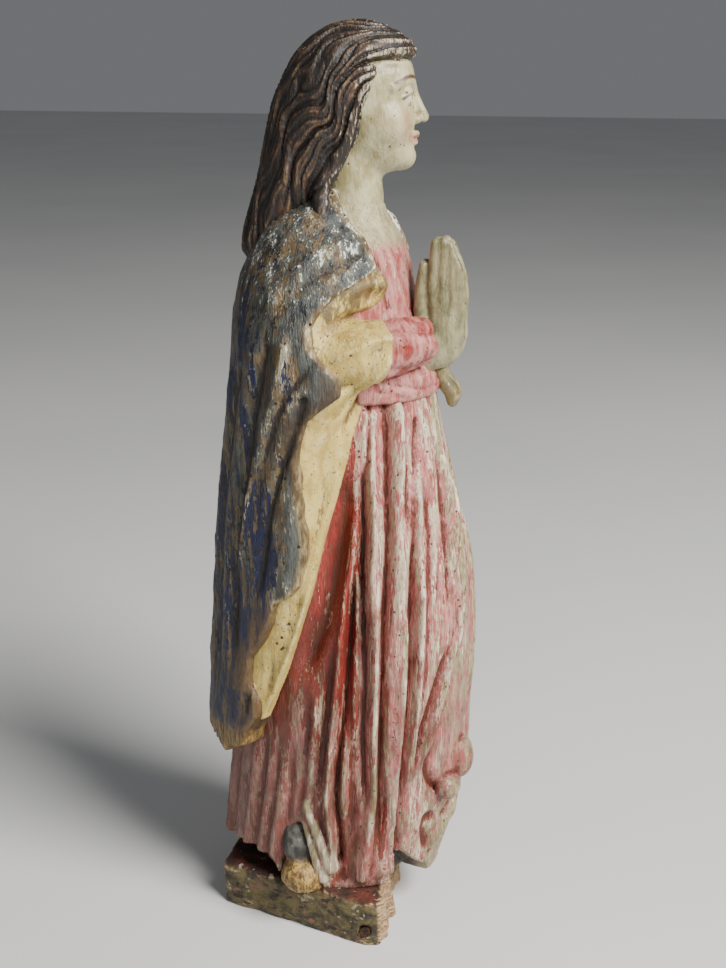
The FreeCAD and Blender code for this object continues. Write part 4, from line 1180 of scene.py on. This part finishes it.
def cloth_paint(name, seed, redness, paleness):
    """Red and pink over chalk, rubbed off in upright streaks, with brown painted shade in the folds and
    painted shade on the side under the cloak, at the back and in the hem's hollow.
    """
    p = Paint(name)
    wear_and_shade, around, whiter = p.layer("wear_and_shade"), p.layer("bearing"), p.layer("whiter")
    broad = p.noise((5, 5, 38), seed, 2.0)
    streak = p.noise((1.0, 1.0, 15), seed + 1)
    thin = p.noise((0.5, 0.5, 3.6), seed + 2, 4.0)
    hair_line = p.noise((0.25, 0.25, 8), seed + 3, 2.0)
    blotch = p.noise((2.4, 2.4, 8), seed + 4, 5.0)
    # Masks of the side under the cloak and of the back, both for painted shade, and of the front.
    shaded_side, front = p.mask(around, 64, 88), p.mask(around, 32, 12)
    low, high, behind = p.mask(p.height, 180, 50), p.mask(p.height, 204, 216), p.mask(around, 98, 124)
    p.tint = p.mix(p.patches(-0.5, 0.5, (blotch, 0.7), (thin, 0.3)), (150, 74, 68), (198, 140, 132))
    # Painted shade below the lining's edge, on the side under the cloak except low down.
    depth = p.both(shaded_side, p.mask(p.height, 64, 110))
    # Deep red patches, spread wider on the shaded side under the lining as painted shade.
    red = p.total(
        (broad, 0.7), (blotch, 0.45), (depth, 0.75), (shaded_side, 0.15), (thin, 0.2), (low, 0.1),
        (front, -0.3),
    )
    red_edge = p.mask(red, 0.36 - redness, 0.42 - redness)
    red_patch = p.mask(red, 0.47 - redness, 0.55 - 0.3 * redness)
    p.coat(p.both(red_edge, max(0.7 - 2.3 * redness, 0.0)), (206, 186, 158))
    p.coat(red_patch, p.mix(p.mask(thin, -0.7, 0.6), (110, 28, 22), (156, 62, 54)))
    # Pale chalk showing through, held back where the painted shade lies.
    chalk = p.total(
        (streak, 0.7), (broad, -0.4), (wear_and_shade, 0.6), (thin, 0.6), (blotch, 0.3), (depth, -0.4), (front, 0.22),
        (low, -0.1), (high, -0.35), (behind, -0.15), (whiter, 0.55),
    )
    chalk = p.mask(chalk, 0.12 - paleness, 0.34 - paleness)
    ground = p.mix(p.patches(-0.4, 0.5, (blotch, 0.6), (thin, 0.4)), (226, 212, 190), (170, 152, 120))
    streaks = p.patches(0.36, 0.58, (p.noise((1.6, 1.6, 16), seed + 7, 4.0), 0.8), (low, 0.28), (thin, 0.3))
    olive = p.patches(0.26, 0.50, (p.noise((3, 3, 20), seed + 5), 0.8), (front, 0.42), (low, 0.38))
    ground = p.mix(olive, ground, p.mix(p.mask(thin, -0.5, 0.5), (116, 106, 72), (166, 156, 118)))
    p.coat(chalk, ground)
    p.coat(p.both(streaks, 0.55), (112, 92, 66))
    bare = p.patches(0.85, 1.0, (wear_and_shade, 0.7), (streak, 0.5), (thin, 0.35))
    p.coat(bare, p.mix(p.mask(hair_line, -0.4, 0.6), (150, 116, 82), (206, 184, 150)))
    # A brown glaze, heavier towards the bottom, and painted shade on the side under the cloak and at the
    # back.
    glaze_and_shade = p.total(
        (low, 0.45), (shaded_side, 0.2), (behind, 0.35), (p.noise((4, 4, 12), seed + 6, 4.0), 0.6),
        (thin, 0.25), (whiter, -0.6),
    )
    p.coat(p.both(p.mask(glaze_and_shade, 0.30, 0.75), 0.6), (82, 44, 30))
    # Painted shade in the folds: brown, and almost black in the deepest.
    p.coat(p.patches(0.10, 0.42, (wear_and_shade, -1.0), (thin, 0.4), (streak, 0.25)), (98, 44, 30))
    p.coat(p.patches(0.52, 0.95, (wear_and_shade, -1.0), (thin, 0.35)), (52, 32, 22))
    # Painted shade in the hollow behind the hem's opening.
    p.coat(p.layer("inside"), (44, 34, 26))
    p.coat(p.specks(2.2, 0.12, seed), (70, 48, 34))
    bare_neck = p.patches(245.0, 250.5, (p.height, 1.0), (blotch, 3.0), (thin, 1.2))
    chest = p.mix(p.patches(-0.4, 0.5, (blotch, 0.7), (thin, 0.2)), (182, 174, 138), (146, 134, 94))
    p.coat(p.both(bare_neck, 0.96), chest)
    p.shade(p.total((hair_line, 0.6), (thin, 0.5)), 0.2)
    relief = p.total(
        (chalk, -0.16), (bare, -0.14), (red_patch, 0.07), (thin, 0.12), (hair_line, 0.03), (streak, 0.06),
    )
    rough = p.math("MULTIPLY_ADD", chalk, 0.10, 0.25)
    return p.finish(rough, relief)


def cloak_paint():
    """Flakes of blue over chalk and a brown ground, greyed in front and rubbed to ochre on the ridges, with
    painted shade below the lobe, under the elbow and in the hollows, and a painted highlight on the
    shoulders.
    """
    p = Paint("worn_blue_cloak")
    wear_and_shade, around, edge = p.layer("wear_and_shade"), p.math("ABSOLUTE", p.layer("bearing")), p.layer("edge")
    broad = p.noise((6, 6, 44), 21, 2.0)
    streak = p.noise((1.6, 1.6, 16), 22)
    thin = p.noise((0.7, 0.7, 2.8), 23, 4.0)
    hair_line = p.noise((0.3, 0.3, 9), 24, 2.0)
    blotch = p.noise((3, 3, 8), 25, 5.0)
    shoulder, low = p.mask(p.height, 208, 244), p.mask(p.height, 150, 90)
    p.tint = p.mix(p.patches(-0.4, 0.5, (blotch, 0.6), (thin, 0.4)), (78, 62, 40), (136, 114, 76))
    chalk = p.patches(0.02, 0.16, (streak, 0.7), (blotch, 0.4), (wear_and_shade, 0.3), (thin, 0.35))
    p.coat(chalk, p.mix(p.mask(thin, -0.5, 0.6), (138, 132, 106), (200, 190, 162)))
    lobe = p.both(p.mask(edge, 14, 4), p.mask(p.height, 118, 140))
    grey = p.total((broad, -0.45), (thin, 0.45), (blotch, 0.4), (streak, 0.3), (lobe, 0.35), (shoulder, 0.15))
    p.coat(p.mask(grey, 0.02, 0.14), p.mix(p.mask(blotch, -0.5, 0.5), (40, 45, 48), (86, 88, 80)))
    dark = p.patches(0.30, 0.48, (p.noise((6, 6, 22), 26, 4.0), 0.75), (thin, 0.35), (shoulder, 0.12))
    p.coat(p.both(dark, 0.9), (26, 24, 24))
    blue = p.total(
        (broad, 0.75), (streak, 0.7), (thin, 0.55), (p.mask(around, 96, 120), 0.38), (shoulder, -0.5),
        (lobe, -0.6), (wear_and_shade, -0.2), (low, 0.1),
    )
    blue = p.mask(blue, 0.24, 0.30)
    p.coat(blue, p.mix(p.mask(thin, -0.6, 0.7), (5, 9, 31), (14, 28, 74)))
    rubbed = p.patches(0.55, 0.72, (wear_and_shade, 0.9), (thin, 0.6), (blotch, 0.3))
    p.coat(rubbed, p.mix(p.mask(blotch, -0.3, 0.5), (132, 106, 66), (186, 176, 150)))
    rim = p.patches(3.4, 1.0, (edge, 1.0), (thin, 0.8), (blotch, 1.6))
    p.coat(p.both(rim, 0.8), p.mix(p.mask(blotch, -0.4, 0.4), (92, 72, 42), (164, 142, 96)))
    # Brown painted shadow below the lobe, near the cloak's edge.
    shadow_below_lobe = p.both(p.mask(edge, 11, 5), p.mask(p.height, 132, 118))
    p.coat(p.both(shadow_below_lobe, p.mask(blotch, -0.6, 0.2)), (88, 66, 38))
    # Dark brown painted shade near the edge under the elbow.
    shade_under_elbow = p.both(p.mask(edge, 12, 3), p.both(p.mask(p.height, 176, 184), p.mask(p.height, 214, 204)))
    p.coat(p.both(shade_under_elbow, p.mask(blotch, -0.5, 0.1)), (62, 48, 32))
    # Painted shade in the hollows: brown, and almost black in the deepest.
    p.coat(p.patches(0.08, 0.36, (wear_and_shade, -1.0), (thin, 0.4)), (38, 30, 22))
    p.coat(p.patches(0.4, 0.8, (wear_and_shade, -1.0), (thin, 0.3)), (14, 11, 9))
    # Painted highlight on the shoulders, whitest on the ridges.
    shoulder_highlight = p.patches(0.66, 0.86, (blotch, 0.7), (thin, 0.6), (shoulder, 0.35), (wear_and_shade, 0.5))
    p.coat(p.both(shoulder_highlight, shoulder), (204, 206, 194))
    ragged = p.patches(80, 74, (p.height, 1.0), (blotch, 4.0))
    p.coat(p.both(ragged, 0.85), p.mix(p.mask(thin, -0.5, 0.5), (92, 66, 34), (156, 126, 70)))
    p.coat(p.specks(3.0, 0.18, 3), (24, 18, 14))
    p.shade(p.total((hair_line, 0.6), (thin, 0.5)), 0.24)
    relief = p.total(
        (blue, 0.18), (chalk, 0.06), (thin, 0.16), (hair_line, 0.04), (streak, 0.1), (rubbed, -0.1),
    )
    rough = p.math("MULTIPLY_ADD", blue, -0.1, 0.42)
    return p.finish(rough, relief)


def lining_paint():
    """Yellowish cream with gilding left on the rolled edge, specked and stained, with painted shade on the
    upper roll and in the hollows.
    """
    p = Paint("cream_and_gold_lining")
    wear_and_shade = p.layer("wear_and_shade")
    blotch, thin = p.noise((4, 4, 10), 31, 5.0), p.noise((0.6, 0.6, 1.6), 32, 4.0)
    upper = p.mask(p.height, 196, 226)
    p.tint = p.mix(p.patches(-0.4, 0.5, (blotch, 0.7), (thin, 0.3)), (206, 184, 106), (176, 148, 74))
    p.coat(p.patches(0.22, 0.52, (p.noise((3, 3, 7), 34, 4.0), 0.7), (thin, 0.4)), (196, 180, 136))
    gold = p.patches(0.34, 0.52, (p.noise((5, 5, 12), 33), 0.6), (thin, 0.4), (upper, 0.35))
    p.coat(gold, p.mix(p.mask(thin, -0.5, 0.5), (134, 106, 52), (186, 154, 84)))
    pale = p.patches(0.45, 0.75, (wear_and_shade, 0.8), (thin, 0.4), (blotch, 0.2))
    p.coat(p.both(pale, 0.7), (226, 216, 184))
    # Painted shade on the upper roll, in greyish brown patches.
    grey = p.patches(0.36, 0.74, (p.mask(p.height, 220, 230), 0.62), (blotch, 0.6), (thin, 0.25))
    p.coat(grey, (108, 92, 60))
    # Painted shade in the hollows: brown, and almost black in the deepest.
    p.coat(p.patches(0.10, 0.45, (wear_and_shade, -1.0), (thin, 0.35)), (112, 84, 44))
    p.coat(p.patches(0.45, 0.95, (wear_and_shade, -1.0), (thin, 0.2)), (44, 31, 18))
    p.coat(p.both(p.specks(1.0, 0.45, 4), 0.6), (126, 102, 62))
    p.coat(p.specks(1.6, 0.34, 5), (98, 92, 82))
    p.coat(p.specks(3.0, 0.16, 6), (52, 40, 30))
    p.coat(p.both(p.cracks(6.5, 1), 0.16), (120, 96, 62))
    p.shade(thin, 0.12)
    relief = p.total((thin, 0.1), (blotch, 0.06), (gold, 0.05))
    return p.finish(0.34, relief)


def skin_paint(name, pale, dull, on_face=False):
    """Old flesh colour gone to cream, stained and rubbed, with painted shade in the hollows; on the face also
    painted eyes, brows and lips.
    """
    p = Paint(name)
    wear_and_shade = p.layer("wear_and_shade")
    blotch, thin = p.noise((4.5, 4.5, 8), 41, 5.0), p.noise((0.7, 0.7, 2.4), 42, 4.0)
    p.tint = p.mix(p.patches(-0.4, 0.5, (blotch, 0.7), (thin, 0.2)), pale, dull)
    stain = p.patches(0.28, 0.75, (p.noise((7, 7, 9), 43, 4.0), 0.7), (thin, 0.25), (wear_and_shade, -0.3))
    p.coat(p.both(stain, 0.6), (158, 128, 86))
    if on_face:
        p.coat(p.both(p.layer("cheek"), 0.3), (192, 130, 100))
        p.coat(p.both(p.layer("eye"), 0.7), (206, 200, 178))
        p.coat(p.both(p.layer("iris"), 0.9), (44, 34, 28))
        p.coat(p.both(p.layer("lips"), 0.6), (160, 92, 74))
        for line in ("brow", "lash"):
            p.coat(p.both(p.layer(line), p.mask(thin, -1.6, -0.2)), (78, 56, 38))
    else:
        tip = p.patches(0.45, 0.75, (p.layer("tip"), 1.0), (blotch, 0.5), (thin, 0.4))
        p.coat(tip, (110, 88, 60))
    rubbed = p.patches(0.72, 0.88, (wear_and_shade, 0.8), (thin, 0.6))
    p.coat(p.both(rubbed, 0.8), (176, 152, 114))
    # Painted shade in the hollows.
    p.coat(p.patches(0.16, 0.6, (wear_and_shade, -1.0), (thin, 0.15)), (124, 98, 64))
    cracks = p.cracks(5.5, 2)
    p.coat(p.both(cracks, 0.14), (130, 108, 78))
    p.coat(p.specks(2.2, 0.14, 8), (92, 68, 48))
    p.shade(thin, 0.07)
    relief = p.total((thin, 0.07), (blotch, 0.06), (rubbed, -0.08), (cracks, -0.03))
    return p.finish(0.3, relief)


def hair_paint():
    """Dark brown in the cuts, deepened there with painted shade, brown and reddish on the locks, rubbed pale
    beside the face.
    """
    p = Paint("dark_brown_hair")
    wear_and_shade, front = p.layer("wear_and_shade"), p.layer("front")
    blotch, thin = p.noise((5, 5, 9), 51, 4.0), p.noise((0.6, 0.6, 3), 52)
    p.tint = p.mix(p.patches(-0.2, 0.5, (blotch, 0.7), (thin, 0.3)), (32, 25, 18), (72, 40, 24))
    high = p.patches(0.05, 0.6, (wear_and_shade, 0.9), (thin, 0.45), (blotch, 0.25))
    p.coat(high, p.mix(p.mask(blotch, -0.4, 0.4), (110, 74, 44), (108, 94, 66)))
    pale = p.patches(0.80, 1.05, (wear_and_shade, 0.9), (thin, 0.6), (front, 0.6), (blotch, 0.4))
    p.coat(p.both(pale, 0.85), p.mix(p.mask(thin, -0.5, 0.6), (128, 114, 90), (190, 182, 160)))
    # Painted shade, almost black, in the cuts.
    p.coat(p.patches(-0.2, 0.16, (wear_and_shade, -1.0), (thin, 0.4)), (16, 11, 8))
    p.shade(thin, 0.15)
    relief = p.total((thin, 0.1), (blotch, 0.04), (pale, -0.08))
    return p.finish(0.52, relief)


def shoe_paint():
    """Grey with a pale rub on the ridges, painted shade in the hollows, and old gold on the toe."""
    p = Paint("rubbed_shoe")
    wear_and_shade, toe = p.layer("wear_and_shade"), p.layer("toe")
    blotch, thin = p.noise((3, 3, 4), 61, 4.0), p.noise((0.7, 0.7, 1.6), 62)
    p.tint = p.mix(p.mask(blotch, -0.4, 0.5), (46, 44, 40), (92, 90, 84))
    gold = p.mix(p.patches(-0.2, 0.3, (blotch, 0.6), (thin, 0.4)), (92, 66, 34), (172, 140, 74))
    p.coat(p.both(toe, p.mask(blotch, -1.2, -0.4)), gold)
    pale = p.patches(0.55, 0.8, (wear_and_shade, 0.7), (thin, 0.5), (blotch, 0.3))
    p.coat(pale, (214, 206, 182))
    # Painted shade in the hollows.
    p.coat(p.patches(0.1, 0.5, (wear_and_shade, -1.0), (thin, 0.3)), (54, 38, 24))
    p.shade(thin, 0.12)
    return p.finish(0.55, p.total((thin, 0.1), (blotch, 0.08)))


def plinth_paint():
    """Dirty marbled paint on the sides, almost black on top, bare split wood in front."""
    p = Paint("marbled_plinth")
    wear_and_shade, split, top = p.layer("wear_and_shade"), p.layer("split"), p.layer("top")
    blotch, thin = p.noise((5, 5, 4), 71, 5.0), p.noise((0.9, 1.4, 0.7), 72)
    grain = p.noise((14, 14, 0.7), 73)
    p.tint = p.mix(p.mask(blotch, -0.5, 0.5), (46, 40, 26), (104, 92, 56))
    p.coat(p.mask(p.noise((4, 6, 3), 74, 4.0), 0.32, 0.5), (112, 78, 60))
    p.coat(p.mask(p.noise((3, 5, 3), 75, 4.0), 0.42, 0.56), (146, 136, 108))
    p.coat(p.mask(p.noise((5, 7, 3), 76, 4.0), 0.30, 0.5), (38, 32, 24))
    on_top = p.mix(p.mask(blotch, -0.3, 0.6), (48, 34, 24), (94, 46, 34))
    p.coat(top, p.mix(p.mask(p.noise((4, 4, 4), 77, 4.0), 0.45, 0.6), on_top, (166, 150, 128)))
    wood = p.mix(p.patches(-0.4, 0.5, (grain, 0.8), (thin, 0.3)), (118, 88, 58), (190, 160, 120))
    p.coat(p.patches(0.42, 0.62, (wear_and_shade, 1.0), (blotch, 0.35), (thin, 0.2)), wood)
    p.coat(split, wood)
    # Painted shade in the hollows.
    p.coat(p.patches(0.3, 0.7, (wear_and_shade, -1.0), (thin, 0.3)), (34, 26, 18))
    p.coat(p.specks(2.6, 0.2, 9), (24, 18, 12))
    p.shade(thin, 0.18)
    relief = p.total((thin, 0.14), (blotch, 0.2), (grain, 0.08))
    return p.finish(0.66, relief)


def tie_paint():
    """Dull gold gone grey-green, pale where it is rubbed."""
    p = Paint("gilded_tie")
    wear_and_shade = p.layer("wear_and_shade")
    blotch, thin = p.noise((3, 3, 5), 81, 4.0), p.noise((0.6, 0.6, 2), 82)
    p.tint = p.mix(p.mask(blotch, -0.5, 0.5), (104, 98, 76), (140, 126, 84))
    p.coat(p.patches(0.3, 0.5, (wear_and_shade, 0.8), (thin, 0.4)), (206, 194, 156))
    # Painted shade in the hollows.
    p.coat(p.patches(0.1, 0.5, (wear_and_shade, -1.0), (thin, 0.2)), (70, 54, 32))
    p.shade(thin, 0.1)
    return p.finish(0.48, p.total((thin, 0.08), (blotch, 0.06)))


def wood():
    """Bare wood of the hidden dowels and pegs."""
    p = Paint("bare_wood")
    grain, thin = p.noise((2.2, 2.2, 30), 91), p.noise((0.5, 0.5, 8), 92)
    p.tint = p.mix(p.patches(-0.5, 0.6, (grain, 0.8), (thin, 0.3)), (142, 104, 66), (190, 154, 108))
    return p.finish(0.62, p.total((thin, 0.06), (grain, 0.05)))


def iron():
    """The rusty nail in the plinth."""
    p = Paint("rusty_iron")
    p.surface.inputs["Metallic"].default_value = 0.6
    blotch, thin = p.noise((1.4, 1.4, 1.4), 95, 4.0), p.noise((0.4, 0.4, 0.4), 96)
    p.tint = p.mix(p.mask(blotch, -0.4, 0.5), (40, 32, 28), (92, 56, 36))
    return p.finish(p.math("MULTIPLY_ADD", blotch, 0.12, 0.62), p.total((thin, 0.1), (blotch, 0.1)))


# --- putting the figure together ----------------------------------------------------------------------


def dress(material, slot, *things):
    """Gives pieces their paint; slot, the record's finish, is not used."""
    for thing in things:
        thing.data.materials.clear()
        thing.data.materials.append(material)


def make_figure():
    """Every piece with its paint."""
    robe = robe_wall()
    dress(cloth_paint("worn_pink_robe", 1, 0.0, 0.04), "robe_paint", *make_robe(robe))
    cloak, *linings = make_cloak(robe)
    dress(cloak_paint(), "cloak_paint", cloak)
    dress(lining_paint(), "lining_paint", *linings)
    dress(cloth_paint("worn_red_sash", 11, 0.4, -0.55), "sash_paint", make_sash())
    dress(tie_paint(), "lining_paint", make_sash_tie())
    sleeve_red = cloth_paint("worn_red_sleeve", 15, 0.5, -0.55)
    # The hands' skin is painted darker than the face's: painted shade.
    shaded_hand_skin = skin_paint("skin_of_hands", (148, 142, 108), (98, 94, 64))
    for side, word in ((1, "right"), (-1, "left")):
        dress(sleeve_red, "robe_paint", make_sleeve(side, word))
        dress(shaded_hand_skin, "skin_paint", make_hand(side, word))
    face_skin = skin_paint("skin_of_face", (180, 174, 138), (140, 130, 88), True)
    dress(face_skin, "skin_paint", make_head())
    dress(hair_paint(), "hair_paint", make_hair())
    dress(shoe_paint(), "shoe_paint", make_shoe())
    dress(plinth_paint(), "plinth_paint", make_plinth())
    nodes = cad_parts
    dowels = ("plinth_dowels", "cloak_pegs", "arm_dowels", "neck_dowel")
    dress(wood(), "bare_wood", *(nodes[name] for name in dowels))
    dress(iron(), "iron", nodes["plinth_nail"])


# --- studio -------------------------------------------------------------------------------------------

LOOK_AT = Vector((0.0, -0.006, 0.16))
CAMERA_BEARING = -76          # degrees round from the front: at the figure's right
CAMERA_DISTANCE = 0.508
CAMERA_RISE = Vector((0.0, 0.0, 0.153))
CAMERA_PITCH = math.radians(16.6)
SENSOR_WIDTH, FOCAL_LENGTH = 36.0, 55.4
FLOOR_HALF = 6.0
SKY_COLOUR, SKY_STRENGTH = (0.80, 0.82, 0.86, 1), 0.2


def aim(thing, direction):
    """Turns a camera or lamp to face this way, upright."""
    thing.rotation_mode = "QUATERNION"
    thing.rotation_quaternion = direction.to_track_quat("-Z", "Y")


def round_figure(azimuth, elevation, distance):
    """A place round the figure: azimuth 0 is in front of it and negative azimuths are on its right."""
    turn, rise = math.radians(azimuth), math.radians(elevation)
    way = Vector((math.sin(turn) * math.cos(rise), -math.cos(turn) * math.cos(rise), math.sin(rise)))
    return LOOK_AT + way * distance


def make_camera():
    """The camera stands at the figure's right, level with its hair, and looks a little down."""
    lens = bpy.data.cameras.new("camera")
    lens.sensor_width = SENSOR_WIDTH
    lens.lens = FOCAL_LENGTH
    lens.clip_start = 0.01
    camera = bpy.data.objects.new("camera", lens)
    bpy.context.scene.collection.objects.link(camera)
    camera.location = round_figure(CAMERA_BEARING, 0, CAMERA_DISTANCE) + CAMERA_RISE
    level = (LOOK_AT + CAMERA_RISE - camera.location).normalized()
    aim(camera, level * math.cos(CAMERA_PITCH) - Vector((0, 0, math.sin(CAMERA_PITCH))))
    bpy.context.scene.camera = camera


def make_lamp(name, azimuth, elevation, distance, size, power, tint):
    """A square lamp that faces the figure."""
    lamp = bpy.data.lights.new(name, "AREA")
    lamp.size = size
    lamp.energy = power
    lamp.color = tint
    holder = bpy.data.objects.new(name, lamp)
    bpy.context.scene.collection.objects.link(holder)
    holder.location = round_figure(azimuth, elevation, distance)
    aim(holder, LOOK_AT - holder.location)


def make_studio():
    """A plain pale floor in soft light: a broad window light ahead of the figure and a weak one behind it."""
    corners = [(x * FLOOR_HALF, y * FLOOR_HALF, 0) for x, y in ((-1, -1), (1, -1), (1, 1), (-1, 1))]
    mesh = bpy.data.meshes.new("floor")
    mesh.from_pydata(corners, [], [(0, 1, 2, 3)])
    floor = bpy.data.objects.new("floor", mesh)
    bpy.context.scene.collection.objects.link(floor)
    pale = Paint("pale_floor")
    cloudy = pale.mask(pale.noise((400, 400, 400), 97, 2.0), -1, 1)
    pale.tint = pale.mix(cloudy, (206, 206, 204), (214, 213, 211))
    mesh.materials.append(pale.finish(0.8, 0.0))
    world = bpy.data.worlds.new("studio")
    world.use_nodes = True
    background = world.node_tree.nodes["Background"]
    background.inputs["Color"].default_value = SKY_COLOUR
    background.inputs["Strength"].default_value = SKY_STRENGTH
    bpy.context.scene.world = world
    make_lamp("window_light", -30, 40, distance=1.3, size=0.6, power=45, tint=(1.0, 0.985, 0.96))
    make_lamp("fill_light", -140, 25, distance=1.8, size=1.2, power=3.0, tint=(0.92, 0.95, 1.0))


make_figure()
make_studio()
make_camera()
